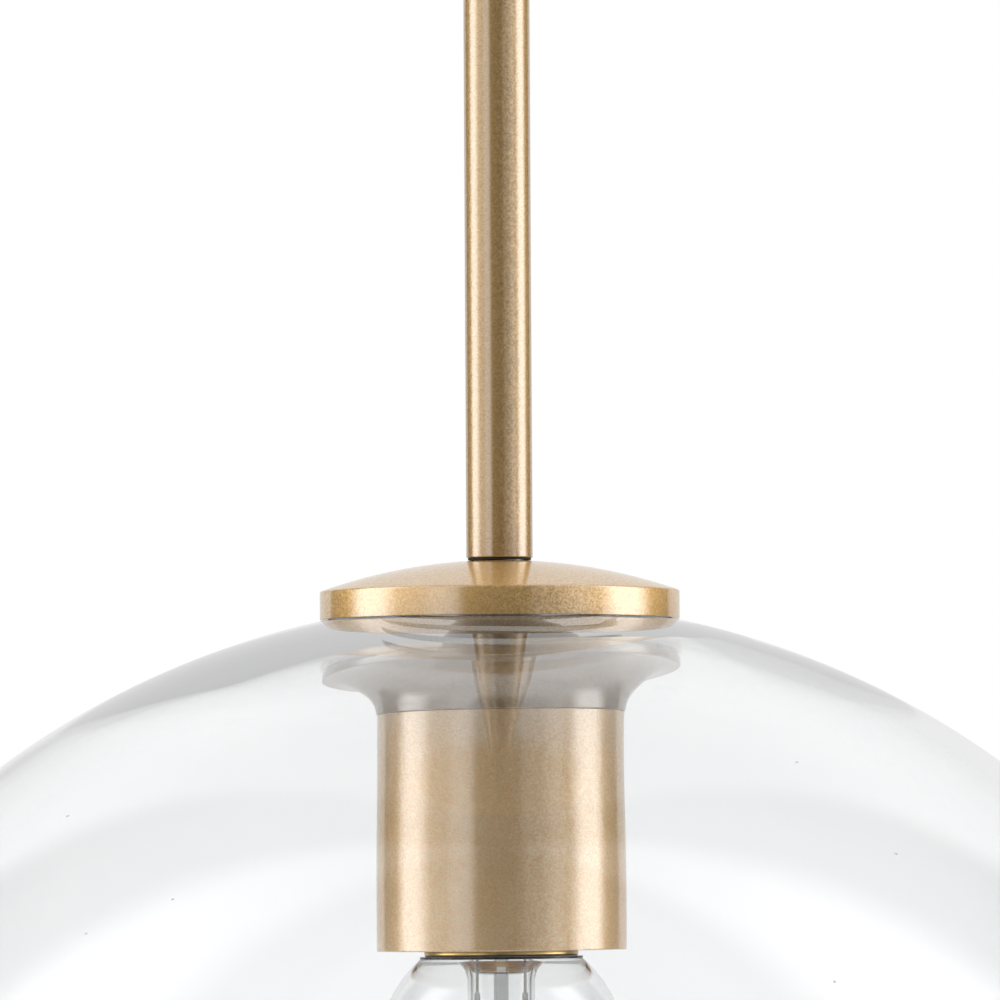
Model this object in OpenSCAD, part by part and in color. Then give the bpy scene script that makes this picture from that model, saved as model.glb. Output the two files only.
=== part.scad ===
// Pendant ceiling light: a clear blown-glass globe clamped under a domed brass cap, on a rigid rod with a
// hang-straight swivel, a round canopy and a screw-base lamp in a brass cup inside the globe.
// Millimetres, +Z up. The origin is the middle of the ceiling strap's top face, in the plane of the ceiling.

/* [Canopy and ceiling strap] */
// Outer diameter of the canopy
canopy_d = 127; // [120:1:160]
// Depth of the canopy, from the ceiling to its flat face
canopy_h = 24; // [22:1:36]
// Sheet thickness of the canopy
canopy_wall = 1.2; // [0.8:0.1:2]
// Radius of the canopy's rolled shoulder
canopy_round = 6; // [3:0.5:10]
// Length of the ceiling strap
strap_l = 112; // [108:1:118]
// Width of the ceiling strap
strap_w = 24; // [20:1:30]
// Thickness of the ceiling strap
strap_t = 2; // [1.5:0.1:3]
// Distance between the middles of the two junction-box slots
box_slot_spacing = 79.4; // [76:0.2:80]
// End-to-end length of a junction-box slot
box_slot_l = 14.2; // [10:0.2:16]
// Width of a junction-box slot
box_slot_w = 4.8; // [4:0.1:6]
// Distance between the two canopy screws
canopy_screw_spacing = 101; // [99:0.5:102]
// Thread diameter of the canopy screws
canopy_screw_d = 4; // [3:0.1:5]
// Diameter of the ball nuts under the canopy
ball_nut_d = 9; // [7:0.5:12]

/* [Swivel] */
// Diameter of the turned knuckle at the head of the rod
knuckle_d = 18; // [16:0.5:24]
// Thread diameter of the swivel's hollow stud
stud_d = 10; // [9.5:0.1:11]
// Wire bore through the stud
stud_bore_d = 6; // [5:0.1:6.4]
// Diameter of the collar bush under the canopy
bush_d = 22; // [20:0.5:30]
// Height of the collar bush below the canopy
bush_h = 6; // [4:0.5:10]
// Thickness of the tongue between the knuckle's ears
tongue_t = 5; // [4:0.1:6]
// Width of the tongue, and of its rounded end
tongue_w = 11; // [9:0.5:12]
// Diameter of the knuckle's cross pin
pin_d = 3; // [2.5:0.1:3.6]

/* [Rod] */
// Outer diameter of the rod
rod_d = 12; // [11:0.1:15]
// Length of the rod
rod_len = 280; // [120:1:900]
// Bore of the rod's tube
rod_bore_d = 8.1; // [7:0.1:8.6]

/* [Cap over the glass] */
// Outer diameter of the domed cap
cap_d = 65; // [58:0.5:80]
// Height of the cap's upright band
band_h = 5.2; // [4:0.1:8]
// Rise of the cap's dome above its band
dome_h = 5.6; // [4.5:0.1:9]
// Sheet thickness of the cap
cap_wall = 1.4; // [1:0.1:2]

/* [Glass globe] */
// Outer diameter of the globe
globe_d = 305; // [250:1:380]
// Thickness of the globe's wall
glass_wall = 3; // [2:0.1:4]
// Thickness of the glass at the neck
neck_t = 4.4; // [4:0.1:7]
// Diameter over which the neck thins down to the wall
neck_d = 147; // [120:1:180]
// Diameter of the hole in the neck
neck_hole_d = 42; // [36:0.5:46]
// Diameter of the open mouth at the bottom of the globe
mouth_d = 150; // [110:1:180]

/* [Flange and cup under the glass] */
// Outer diameter of the trumpet-shaped flange
flange_d = 64.8; // [58:0.2:78]
// Thickness of the flange's lip
lip_t = 1.5; // [1:0.1:3]
// Width of the flat step inside the lip's edge
lip_step = 0.9; // [0.5:0.1:2]
// Thickness of the flange's top plate
flange_plate = 3.5; // [2.5:0.1:5]
// Outer diameter of the socket cup
cup_d = 45; // [43:0.5:54]
// Length of the socket cup
cup_len = 44.6; // [34:0.1:60]
// Sheet thickness of the socket cup
cup_wall = 1; // [0.8:0.1:1.5]

/* [Fastenings] */
// Thread diameter of the hollow tube through the neck
tube_d = 9.9; // [9:0.1:10.2]
// Wire bore of the hollow tube
tube_bore_d = 7; // [5:0.1:7.4]
// Width across flats of the hex nuts on the tube
nut_af = 14; // [12:0.5:17]
// Thickness of the hex nuts on the tube
nut_t = 3.5; // [2.5:0.1:4]
// Thickness of the washers
washer_t = 0.8; // [0.5:0.1:1.2]

/* [Socket] */
// Outer diameter of the socket's moulded body
socket_d = 38; // [34:0.5:40]
// Length of the socket's moulded body
socket_len = 31.7; // [29:0.1:38]
// Height of the cover over the terminals
socket_cap_h = 5.5; // [5:0.1:8]
// Inner diameter of the socket's screw shell
shell_bore_d = 26.9; // [26.7:0.1:27.4]
// Sheet thickness of the screw shell
shell_wall = 0.5; // [0.4:0.1:0.8]

/* [Lamp] */
// Diameter over the lamp's screw thread
base_d = 26; // [25.6:0.1:26.4]
// Length of the lamp's threaded shell
base_len = 22; // [20:0.1:24]
// Diameter of the lamp's glass ball
bulb_d = 45; // [40:0.5:56]
// Distance from the lamp's collar to the middle of its ball
bulb_drop = 18.6; // [16:0.1:30]
// Thickness of the lamp's glass
bulb_wall = 0.8; // [0.6:0.1:1.2]
// Diameter of the lamp's collar
collar_d = 27.8; // [27:0.1:29]
// Diameter of the glass stem in the lamp
stem_d = 12.3; // [10:0.1:14]
// Length of one light filament
filament_len = 19; // [14:0.5:22]

/* [Hidden] */
// Running clearance of shafts and pins, and the play of fixed threads, both on the radius
run_gap = 0.05;
// Gap between pieces that move past each other
move_gap = 0.3;
// Gap between the cap's edge and the glass
cap_gap = 0.15;
// Play between pieces that are stacked face to face
seat_gap = 0.02;
// Overlap used where a cut has to run past a face
cut = 1;
// Smoothness of round surfaces
$fn = 96;

canopy_r = canopy_d / 2;
face_z = -canopy_h;
face_in_z = face_z + canopy_wall;
ground_screw_y = 7;
ground_screw_r = 1.9;
ground_head_r = 4;
ground_head_h = 2.2;
lock_nut_r = 3.6;
lock_nut_t = 3;
connector_len = 13;
connector_in_r = 2.6;
connector_x = 9;
connector_y = 31;
connector_z = face_in_z + 0.5;

stud_r = stud_d / 2;
bush_neck_r = stud_r + 2.5;
bush_neck_h = 4;
bush_bottom_z = face_z - bush_h;
bush_top_z = face_in_z + bush_neck_h;
stud_nut_z = bush_top_z + 2 * seat_gap + washer_t + run_gap;
stud_floor_t = 1;
shoulder_t = 4;
shoulder_r = 8;
shoulder_bottom_z = bush_bottom_z - move_gap - shoulder_t;
tongue_r = tongue_w / 2;
knuckle_r = knuckle_d / 2;
knuckle_head_room = 2.7;
pivot_z = shoulder_bottom_z - knuckle_r - knuckle_head_room;
tongue_room = 0.8;
slot_floor_z = pivot_z - tongue_r - tongue_room;
rod_r = rod_d / 2;
knuckle_ball_share = 0.83;
rod_top_z = pivot_z - knuckle_ball_share * knuckle_r;
spigot_r = rod_bore_d / 2 - run_gap;
spigot_len = 12;
fork_bore_r = 2.6;
rod_bottom_z = rod_top_z - rod_len;
rod_socket_depth = 12;
fibre_t = 0.4;

cap_r = cap_d / 2;
apex_z = rod_bottom_z - fibre_t;
band_top_z = apex_z - dome_h;
band_bottom_z = band_top_z - band_h;
dome_r = (cap_r * cap_r + dome_h * dome_h) / (2 * dome_h);
dome_c_z = apex_z - dome_r;

globe_r = globe_d / 2;
glass_top_z = band_bottom_z - cap_gap + globe_r - sqrt(globe_r * globe_r - cap_r * cap_r);
glass_c_z = glass_top_z - globe_r;
inner_r = globe_r - glass_wall;
neck_r = neck_d / 2;
neck_drop = globe_r - neck_t - sqrt(inner_r * inner_r - neck_r * neck_r);
neck_inner_r = (neck_r * neck_r + neck_drop * neck_drop) / (2 * neck_drop);
neck_c_z = glass_c_z + globe_r - neck_t - neck_inner_r;
neck_hole_r = neck_hole_d / 2;
mouth_z = glass_c_z - sqrt(globe_r * globe_r - mouth_d * mouth_d / 4);

flange_r = flange_d / 2;
cup_r = cup_d / 2;
gasket_edge_t = 0.4;
flange_seat_r = flange_r - gasket_edge_t;
flange_seat_z = neck_c_z + sqrt(neck_inner_r * neck_inner_r - flange_seat_r * flange_seat_r);
flange_top_z = flange_seat_z - gasket_edge_t;
flange_foot_r = cup_r + 0.2;
flange_bore_r = cup_r - 2.5;
flare_r = flange_r - lip_step - flange_foot_r;
flange_bottom_z = flange_top_z - lip_t - flare_r;
cup_top_z = flange_bottom_z;
cup_bottom_z = cup_top_z - cup_len;
cup_in_z = cup_top_z - cup_wall;

tube_r = tube_d / 2;
thread_hole_r = tube_r + run_gap;
nut_r = nut_af / 2 / cos(30);
washer_r = nut_r + 0.3;
cap_washer_z = dome_c_z + sqrt(pow(dome_r - cap_wall, 2) - washer_r * washer_r);
cup_nut_bottom_z = cup_in_z - washer_t - nut_t;
hub_gap = 0.4;
hub_top_z = cup_nut_bottom_z - hub_gap;
hub_h = 1.2;
hub_r = tube_r + 3;
socket_cap_top_z = hub_top_z - hub_h;
socket_top_z = socket_cap_top_z - socket_cap_h;
socket_mouth_z = socket_top_z - socket_len;
socket_r = socket_d / 2;
socket_floor_t = 2.8;
terminal_x = 11;
terminal_r = 1.7;
shell_r = shell_bore_d / 2;
shell_out_r = shell_r + shell_wall;

collar_h = 1.1;
collar_top_z = socket_mouth_z - move_gap;
ring_top_z = collar_top_z - collar_h;
neck_ring_h = 0.5;
neck_ring_r = collar_d / 2 + 0.8;
bulb_neck_z = ring_top_z - neck_ring_h;
bulb_r = bulb_d / 2;
bulb_c_z = collar_top_z - bulb_drop;
base_r = base_d / 2;
base_top_z = collar_top_z + base_len;
insulator_h = 3;
contact_h = 1.2;
contact_top_z = base_top_z + insulator_h + contact_h;
stem_r = stem_d / 2;
stem_len = 12;
stem_bottom_z = bulb_neck_z - stem_len;
press_h = 6;
press_bottom_z = stem_bottom_z - press_h;
wire_x = 4.4;
filament_top_z = press_bottom_z + 1;
filament_spread_top = 4.5;
filament_spread_low = 8.5;

// A ring or a tube, from its lower face up.
module ring(outer, inner, height) {
    difference() {
        cylinder(r = outer, h = height);
        translate([0, 0, -cut]) cylinder(r = inner, h = height + 2 * cut);
    }
}

// A hex nut with a plain bore, from its lower face up.
module hex_nut(corner_r, bore_r, height) {
    difference() {
        cylinder(r = corner_r, h = height, $fn = 6);
        translate([0, 0, -cut]) cylinder(r = bore_r, h = height + 2 * cut);
    }
}

// A round wire along straight runs between the given points, with a slightly fuller ball at each bend.
module wire(points, radius) {
    for (i = [0 : len(points) - 2]) {
        run = points[i + 1] - points[i];
        translate(points[i]) rotate([0, acos(run[2] / norm(run)), atan2(run[1], run[0])])
            cylinder(r = radius, h = norm(run), $fn = 24);
    }
    for (i = [1 : 1 : len(points) - 2]) translate(points[i]) sphere(r = 1.06 * radius, $fn = 24);
}

// The round-ended slot for a junction-box screw, as a solid to cut from the strap.
module box_slot() {
    half_run = (box_slot_l - box_slot_w) / 2;
    for (end = [-1, 1]) translate([end * half_run, 0, 0]) cylinder(d = box_slot_w, h = strap_t + 2 * cut);
    translate([-half_run, -box_slot_w / 2, 0]) cube([2 * half_run, box_slot_w, strap_t + 2 * cut]);
}

// The pressed steel strap that screws to the junction box and carries everything.
module ceiling_strap() {
    color("silver") difference() {
        translate([-strap_l / 2, -strap_w / 2, -strap_t]) cube([strap_l, strap_w, strap_t]);
        for (side = [-1, 1]) {
            translate([side * canopy_screw_spacing / 2, 0, -strap_t - cut])
                cylinder(d = canopy_screw_d + 2 * run_gap, h = strap_t + 2 * cut);
            translate([side * box_slot_spacing / 2, 0, -strap_t - cut]) box_slot();
        }
        translate([0, ground_screw_y, -strap_t - cut])
            cylinder(r = ground_screw_r + run_gap, h = strap_t + 2 * cut);
    }
}

// The green earth screw, its head under the strap.
module ground_screw() {
    slot_w = 1;
    slot_depth = 1;
    head_z = -strap_t - ground_head_h;
    color("green") translate([0, ground_screw_y, 0]) {
        translate([0, 0, -strap_t]) cylinder(r = ground_screw_r, h = strap_t);
        difference() {
            translate([0, 0, head_z]) cylinder(r = ground_head_r, h = ground_head_h - seat_gap);
            translate([-ground_head_r - cut, -slot_w / 2, head_z - cut])
                cube([2 * (ground_head_r + cut), slot_w, slot_depth + cut]);
        }
    }
}

// Two long machine screws that stand down from the strap and through the canopy's face, with lock nuts.
module canopy_screws() {
    screw_end_len = 4;
    screw_tail_z = face_z - screw_end_len;
    color("silver") for (side = [-1, 1]) {
        translate([side * canopy_screw_spacing / 2, 0, screw_tail_z]) {
            cylinder(d = canopy_screw_d, h = -screw_tail_z - strap_t / 2);
            translate([0, 0, -strap_t - lock_nut_t - screw_tail_z])
                ring(lock_nut_r, canopy_screw_d / 2, lock_nut_t - seat_gap);
        }
    }
}

// The outline of the canopy, turned: a cylinder with a rounded lower edge.
module canopy_body(r, height, round_r) {
    translate([0, 0, -height + round_r]) cylinder(r = r, h = height - round_r);
    translate([0, 0, -height]) cylinder(r = r - round_r, h = height);
    translate([0, 0, -height + round_r]) rotate_extrude() translate([r - round_r, 0]) circle(r = round_r);
}

// A spun sheet dish with a flat face, a rolled shoulder and three holes.
module canopy() {
    color("goldenrod") difference() {
        intersection() {
            canopy_body(canopy_r, canopy_h, canopy_round);
            translate([0, 0, -canopy_h]) cylinder(r = canopy_r + cut, h = canopy_h);
        }
        union() {
            canopy_body(canopy_r - canopy_wall, canopy_h - canopy_wall, canopy_round - canopy_wall);
            translate([0, 0, -cut]) cylinder(r = canopy_r - canopy_wall, h = 2 * cut);
        }
        for (side = [-1, 1]) translate([side * canopy_screw_spacing / 2, 0, face_z - cut])
            cylinder(d = canopy_screw_d + 2 * move_gap, h = canopy_wall + 2 * cut);
        translate([0, 0, face_z - cut]) cylinder(r = bush_neck_r + run_gap, h = canopy_wall + 2 * cut);
    }
}

// Two ball nuts that hold the canopy up on its screws.
module ball_nuts() {
    ball_r = ball_nut_d / 2;
    foot_r = 0.8 * ball_r;
    foot_t = 1.5;
    ball_sink = 0.75 * ball_r;
    blind_depth = 5;
    color("goldenrod") for (side = [-1, 1]) {
        translate([side * canopy_screw_spacing / 2, 0, face_z - seat_gap]) difference() {
            union() {
                translate([0, 0, -foot_t]) cylinder(r = foot_r, h = foot_t);
                translate([0, 0, -foot_t - ball_sink]) sphere(r = ball_r);
            }
            cylinder(r = ball_r + cut, h = ball_r);
            translate([0, 0, -blind_depth]) cylinder(d = canopy_screw_d + 2 * run_gap, h = blind_depth + cut);
        }
    }
}

// The turned collar bush: its neck passes up through the canopy, and its bore carries the stud.
module bush() {
    color("goldenrod") difference() {
        union() {
            translate([0, 0, bush_bottom_z]) cylinder(d = bush_d, h = bush_h - seat_gap);
            translate([0, 0, bush_bottom_z])
                cylinder(r = bush_neck_r, h = bush_h + canopy_wall + bush_neck_h);
        }
        translate([0, 0, bush_bottom_z - cut])
            cylinder(r = stud_r + run_gap, h = bush_h + canopy_wall + bush_neck_h + 2 * cut);
    }
}

// The thin nut that draws the bush up against the canopy.
module bush_nut() {
    bush_nut_r = bush_neck_r + 3.5;
    bush_nut_t = bush_neck_h - 1;
    color("silver") translate([0, 0, face_in_z + seat_gap])
        hex_nut(bush_nut_r, bush_neck_r + run_gap, bush_nut_t);
}

// A plain washer between the bush and the nut of the stud.
module stud_washer() {
    color("silver") translate([0, 0, bush_top_z + seat_gap])
        ring(bush_neck_r + 1, stud_r + run_gap, washer_t);
}

// The nut that the stud hangs from, on its washer.
module stud_nut() {
    color("silver") translate([0, 0, stud_nut_z]) hex_nut(nut_r, stud_r + seat_gap, nut_t);
}

// The hollow stud that turns in the bush, with the shoulder and the tongue of the knuckle joint below it.
module swivel_stud() {
    stud_end_len = 1;
    stud_len = stud_nut_z + nut_t + stud_end_len - shoulder_bottom_z;
    tongue_h = shoulder_bottom_z - pivot_z;
    color("goldenrod") difference() {
        union() {
            translate([0, 0, shoulder_bottom_z]) cylinder(r = stud_r, h = stud_len);
            translate([0, 0, shoulder_bottom_z]) cylinder(r = shoulder_r, h = shoulder_t);
            translate([-tongue_t / 2, -tongue_r, pivot_z]) cube([tongue_t, tongue_w, tongue_h]);
            translate([-tongue_t / 2, 0, pivot_z]) rotate([0, 90, 0]) cylinder(r = tongue_r, h = tongue_t);
        }
        translate([0, 0, shoulder_bottom_z + stud_floor_t]) cylinder(d = stud_bore_d, h = stud_len);
        translate([-tongue_t / 2 - cut, 0, pivot_z]) rotate([0, 90, 0])
            cylinder(r = pin_d / 2 + run_gap, h = tongue_t + 2 * cut);
    }
}

// The turned knuckle: a slotted ball with a spigot that screws into the head of the rod.
module knuckle() {
    slot_w = tongue_t + 2 * move_gap;
    color("goldenrod") difference() {
        union() {
            difference() {
                translate([0, 0, pivot_z]) sphere(r = knuckle_r);
                translate([0, 0, rod_top_z - knuckle_d]) cylinder(r = knuckle_d, h = knuckle_d);
            }
            translate([0, 0, rod_top_z]) cylinder(r = rod_r, h = pivot_z - rod_top_z - knuckle_r / 2);
            translate([0, 0, rod_top_z - spigot_len]) cylinder(r = spigot_r, h = spigot_len + cut);
        }
        translate([-slot_w / 2, -knuckle_r - cut, slot_floor_z])
            cube([slot_w, knuckle_d + 2 * cut, knuckle_d + cut]);
        translate([0, 0, rod_top_z - spigot_len - cut]) cylinder(r = fork_bore_r, h = spigot_len + knuckle_r);
        translate([-knuckle_r - cut, 0, pivot_z]) rotate([0, 90, 0])
            cylinder(r = pin_d / 2 + seat_gap, h = knuckle_d + 2 * cut);
    }
}

// The cross pin through the ears of the knuckle and the tongue between them.
module knuckle_pin() {
    pin_sink = 0.2;
    pin_len = 2 * sqrt(knuckle_r * knuckle_r - pin_d * pin_d / 4) - 2 * pin_sink;
    color("silver") translate([-pin_len / 2, 0, pivot_z]) rotate([0, 90, 0]) cylinder(d = pin_d, h = pin_len);
}

// A drawn tube with a tapped end that takes the knuckle's spigot and one that takes the threaded tube.
module rod() {
    color("goldenrod") difference() {
        translate([0, 0, rod_bottom_z]) cylinder(r = rod_r, h = rod_len);
        translate([0, 0, rod_bottom_z - cut]) cylinder(d = rod_bore_d, h = rod_len + 2 * cut);
        translate([0, 0, rod_bottom_z - cut]) cylinder(r = thread_hole_r, h = rod_socket_depth + cut);
    }
}

// The two insulated leads from the knuckle, down the rod and the tube, to the socket's terminals.
module rod_leads() {
    lead_r = 1;
    lead_x = 1.15;
    start_z = slot_floor_z - 1.2;
    turn_z = hub_top_z - hub_h - 1.8;
    end_x = terminal_x - 3;
    end_z = socket_top_z + 2.2;
    color("ivory") for (side = [-1, 1]) {
        wire([[side * lead_x, 0, start_z], [side * lead_x, 0, turn_z], [side * end_x, 0, end_z]], lead_r);
    }
}

// A thin fibre washer that keeps the rod's end from marking the cap.
module rod_washer() {
    color("dimgray") translate([0, 0, apex_z + seat_gap])
        ring(rod_r - move_gap, thread_hole_r, fibre_t - 2 * seat_gap);
}

// The domed cap: a shallow spun dish with an upright band, cut to follow the glass.
module cap() {
    color("goldenrod") difference() {
        intersection() {
            translate([0, 0, dome_c_z]) sphere(r = dome_r, $fn = 192);
            translate([0, 0, band_bottom_z]) cylinder(r = cap_r, h = dome_h + band_h + cut);
        }
        intersection() {
            translate([0, 0, dome_c_z]) sphere(r = dome_r - cap_wall, $fn = 192);
            translate([0, 0, band_bottom_z - cut]) cylinder(r = cap_r - cap_wall, h = dome_h + band_h + cut);
        }
        translate([0, 0, glass_c_z]) sphere(r = globe_r + cap_gap, $fn = 192);
        translate([0, 0, apex_z - 2 * cap_wall]) cylinder(r = thread_hole_r, h = 3 * cap_wall);
    }
}

// The washer and the thin nut that hold the cap against the rod.
module cap_washer() {
    color("silver") translate([0, 0, cap_washer_z - washer_t - seat_gap])
        ring(washer_r, thread_hole_r, washer_t);
}

module cap_nut() {
    cap_nut_h = nut_t - 0.5;
    color("silver") translate([0, 0, cap_washer_z - washer_t - 2 * seat_gap - cap_nut_h])
        hex_nut(nut_r, thread_hole_r, cap_nut_h);
}

// The hollow threaded tube that everything around the neck is stacked on.
module threaded_tube() {
    tube_top_z = rod_bottom_z + rod_socket_depth - 1;
    tube_bottom_z = hub_top_z - hub_h;
    color("silver") translate([0, 0, tube_bottom_z])
        ring(tube_r, tube_bore_d / 2, tube_top_z - tube_bottom_z);
}

// A moulded ring that fills the space between the cap and the top of the glass.
module upper_gasket() {
    gasket_out_r = cap_r - cap_wall - 2 * run_gap;
    gasket_in_r = neck_hole_r + 3;
    color("white") difference() {
        intersection() {
            translate([0, 0, band_bottom_z - cut]) cylinder(r = gasket_out_r, h = band_h + dome_h);
            translate([0, 0, dome_c_z]) sphere(r = dome_r - cap_wall - seat_gap, $fn = 192);
        }
        translate([0, 0, glass_c_z]) sphere(r = globe_r + seat_gap, $fn = 192);
        translate([0, 0, band_bottom_z - 2 * cut]) cylinder(r = gasket_in_r, h = band_h + dome_h + 3 * cut);
    }
}

// The blown globe: thicker at the neck, with a round hole at the top and an open ground mouth at the bottom.
module glass_globe() {
    color("lightblue", 0.35) difference() {
        translate([0, 0, glass_c_z]) sphere(r = globe_r, $fn = 192);
        intersection() {
            translate([0, 0, glass_c_z]) sphere(r = inner_r, $fn = 192);
            translate([0, 0, neck_c_z]) sphere(r = neck_inner_r, $fn = 192);
        }
        translate([0, 0, glass_c_z]) cylinder(r = neck_hole_r, h = globe_r + cut);
        translate([0, 0, mouth_z - globe_r]) cylinder(r = globe_r, h = globe_r);
    }
}

// A clear soft ring between the flange and the underside of the glass.
module lower_gasket() {
    gasket_in_r = neck_hole_r + 0.5;
    color("white", 0.6) difference() {
        intersection() {
            translate([0, 0, flange_top_z + seat_gap]) cylinder(r = flange_seat_r, h = 2 * neck_t);
            translate([0, 0, neck_c_z]) sphere(r = neck_inner_r - seat_gap, $fn = 480);
        }
        translate([0, 0, flange_top_z - cut]) cylinder(r = gasket_in_r, h = 3 * neck_t);
    }
}

// The trumpet-shaped flange that clamps the glass from below.
module flange() {
    flare_c_r = flange_foot_r + flare_r;
    color("goldenrod") difference() {
        translate([0, 0, flange_bottom_z]) cylinder(r = flange_r, h = flange_top_z - flange_bottom_z);
        rotate_extrude() translate([flare_c_r, flange_bottom_z]) circle(r = flare_r);
        translate([0, 0, flange_bottom_z - cut]) ring(flange_r + cut, flare_c_r, flare_r + cut);
        translate([0, 0, flange_bottom_z - cut])
            cylinder(r = flange_bore_r, h = flange_top_z - flange_bottom_z - flange_plate + cut);
        translate([0, 0, flange_top_z - flange_plate - cut])
            cylinder(r = thread_hole_r, h = flange_plate + 2 * cut);
    }
}

// The straight cup around the socket, closed at the top.
module socket_cup() {
    color("goldenrod") difference() {
        translate([0, 0, cup_bottom_z]) cylinder(r = cup_r, h = cup_len - seat_gap);
        translate([0, 0, cup_bottom_z - cut]) cylinder(r = cup_r - cup_wall, h = cup_len - cup_wall + cut);
        translate([0, 0, cup_in_z - cut]) cylinder(r = thread_hole_r, h = cup_wall + 2 * cut);
    }
}

// The washer and the nut that clamp the cup, the flange and the glass together.
module cup_washer() {
    color("silver") translate([0, 0, cup_in_z - washer_t - seat_gap]) ring(washer_r, thread_hole_r, washer_t);
}

module cup_nut() {
    color("silver") translate([0, 0, cup_nut_bottom_z]) hex_nut(nut_r, thread_hole_r, nut_t - 2 * seat_gap);
}

// The cover over the terminals, screwed onto the threaded tube by its hub.
module socket_cap() {
    cover_wall = 1.5;
    cover_in_h = socket_cap_h - cover_wall;
    color("ivory") difference() {
        union() {
            translate([0, 0, socket_top_z + seat_gap]) cylinder(r = socket_r, h = socket_cap_h);
            translate([0, 0, socket_cap_top_z]) cylinder(r = hub_r, h = hub_h);
        }
        translate([0, 0, socket_top_z - cut]) cylinder(r = socket_r - cover_wall, h = cover_in_h + cut);
        translate([0, 0, socket_top_z]) cylinder(r = thread_hole_r, h = socket_cap_h + hub_h + cut);
    }
}

// The moulded body of the socket, bored for the screw shell.
module socket_body() {
    well_h = socket_len - socket_floor_t;
    color("ivory") difference() {
        translate([0, 0, socket_mouth_z]) cylinder(r = socket_r, h = socket_len);
        translate([0, 0, socket_mouth_z - cut]) cylinder(r = shell_out_r + run_gap, h = well_h + cut);
        for (side = [-1, 1]) translate([side * terminal_x, 0, socket_top_z - socket_floor_t - cut])
            cylinder(r = terminal_r + run_gap, h = socket_floor_t + 2 * cut);
    }
}

// The metal screw shell that takes the lamp, closed by a floor with a hole for the centre contact.
module socket_shell() {
    shell_len = 27;
    shell_setback = 0.8;
    contact_hole_r = 7;
    color("silver") translate([0, 0, socket_mouth_z + shell_setback]) difference() {
        cylinder(r = shell_out_r, h = shell_len);
        translate([0, 0, -cut]) cylinder(r = shell_r, h = shell_len - shell_wall + cut);
        cylinder(r = contact_hole_r, h = shell_len + cut);
    }
}

// The sprung centre contact that meets the tip of the lamp.
module socket_contact() {
    contact_t = 0.6;
    button_r = 3.2;
    leaf_w = 3;
    leaf_len = 5.5;
    leaf_z = contact_top_z + run_gap;
    color("gold") translate([0, 0, leaf_z]) {
        cylinder(r = button_r, h = contact_t);
        translate([-leaf_w / 2, 0, 0]) cube([leaf_w, leaf_len, contact_t]);
        translate([-leaf_w / 2, leaf_len - contact_t, 0])
            cube([leaf_w, contact_t, socket_top_z - socket_floor_t - leaf_z]);
    }
}

// The two slotted screws that hold the leads on the socket.
module terminal_screws() {
    head_r = 2.8;
    head_h = 1.2;
    slot_w = 0.8;
    slot_z = 0.7;
    shank_h = socket_floor_t - 0.2;
    color("gold") for (side = [-1, 1]) translate([side * terminal_x, 0, socket_top_z]) {
        translate([0, 0, -shank_h]) cylinder(r = terminal_r, h = shank_h + run_gap);
        difference() {
            translate([0, 0, seat_gap]) cylinder(r = head_r, h = head_h);
            translate([-slot_w / 2, -head_r - cut, slot_z]) cube([slot_w, 2 * (head_r + cut), head_h]);
        }
    }
}

// The solder button at the tip of the lamp's base.
module lamp_contact() {
    foot_r = 4.5;
    tip_r = 3;
    color("silver") translate([0, 0, base_top_z + insulator_h])
        cylinder(r1 = foot_r, r2 = tip_r, h = contact_h);
}

// The black glass insulator between the lamp's shell and its contact.
module lamp_insulator() {
    foot_r = base_r - 2;
    tip_r = 5.5;
    color("dimgray") translate([0, 0, base_top_z + seat_gap])
        cylinder(r1 = foot_r, r2 = tip_r, h = insulator_h - 2 * seat_gap);
}

// The screw base, a thin shell with rolled threads and a collar that stands just below the socket's mouth.
module lamp_base() {
    base_wall = 0.5;
    thread_pitch = 3.63;
    thread_depth = 0.6;
    thread_round = 1.1;
    thread_start = 3;
    thread_end = 2;
    contact_hole_r = 6;
    body_r = base_r - thread_depth;
    threads = floor((base_len - thread_start - thread_end) / thread_pitch);
    color("goldenrod") difference() {
        union() {
            translate([0, 0, collar_top_z]) cylinder(r = body_r, h = base_len);
            for (i = [0 : threads]) translate([0, 0, collar_top_z + thread_start + i * thread_pitch])
                rotate_extrude() translate([base_r - thread_round, 0]) circle(r = thread_round, $fn = 32);
            translate([0, 0, ring_top_z]) cylinder(d = collar_d, h = collar_h);
        }
        translate([0, 0, ring_top_z - cut])
            cylinder(r = body_r - base_wall, h = base_len + collar_h + cut - base_wall);
        translate([0, 0, base_top_z - 2 * cut]) cylinder(r = contact_hole_r, h = 4 * cut);
    }
}

// The dark seal between the collar and the glass of the lamp.
module lamp_neck_ring() {
    ring_in_r = collar_d / 2 - 1.6;
    color("black") translate([0, 0, bulb_neck_z + seat_gap])
        ring(neck_ring_r, ring_in_r, neck_ring_h - 2 * seat_gap);
}

// The clear ball of the lamp, open at its neck.
module lamp_glass() {
    color("lightblue", 0.35) difference() {
        translate([0, 0, bulb_c_z]) sphere(r = bulb_r);
        translate([0, 0, bulb_c_z]) sphere(r = bulb_r - bulb_wall);
        translate([0, 0, bulb_neck_z]) cylinder(r = bulb_r, h = bulb_d);
    }
}

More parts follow.
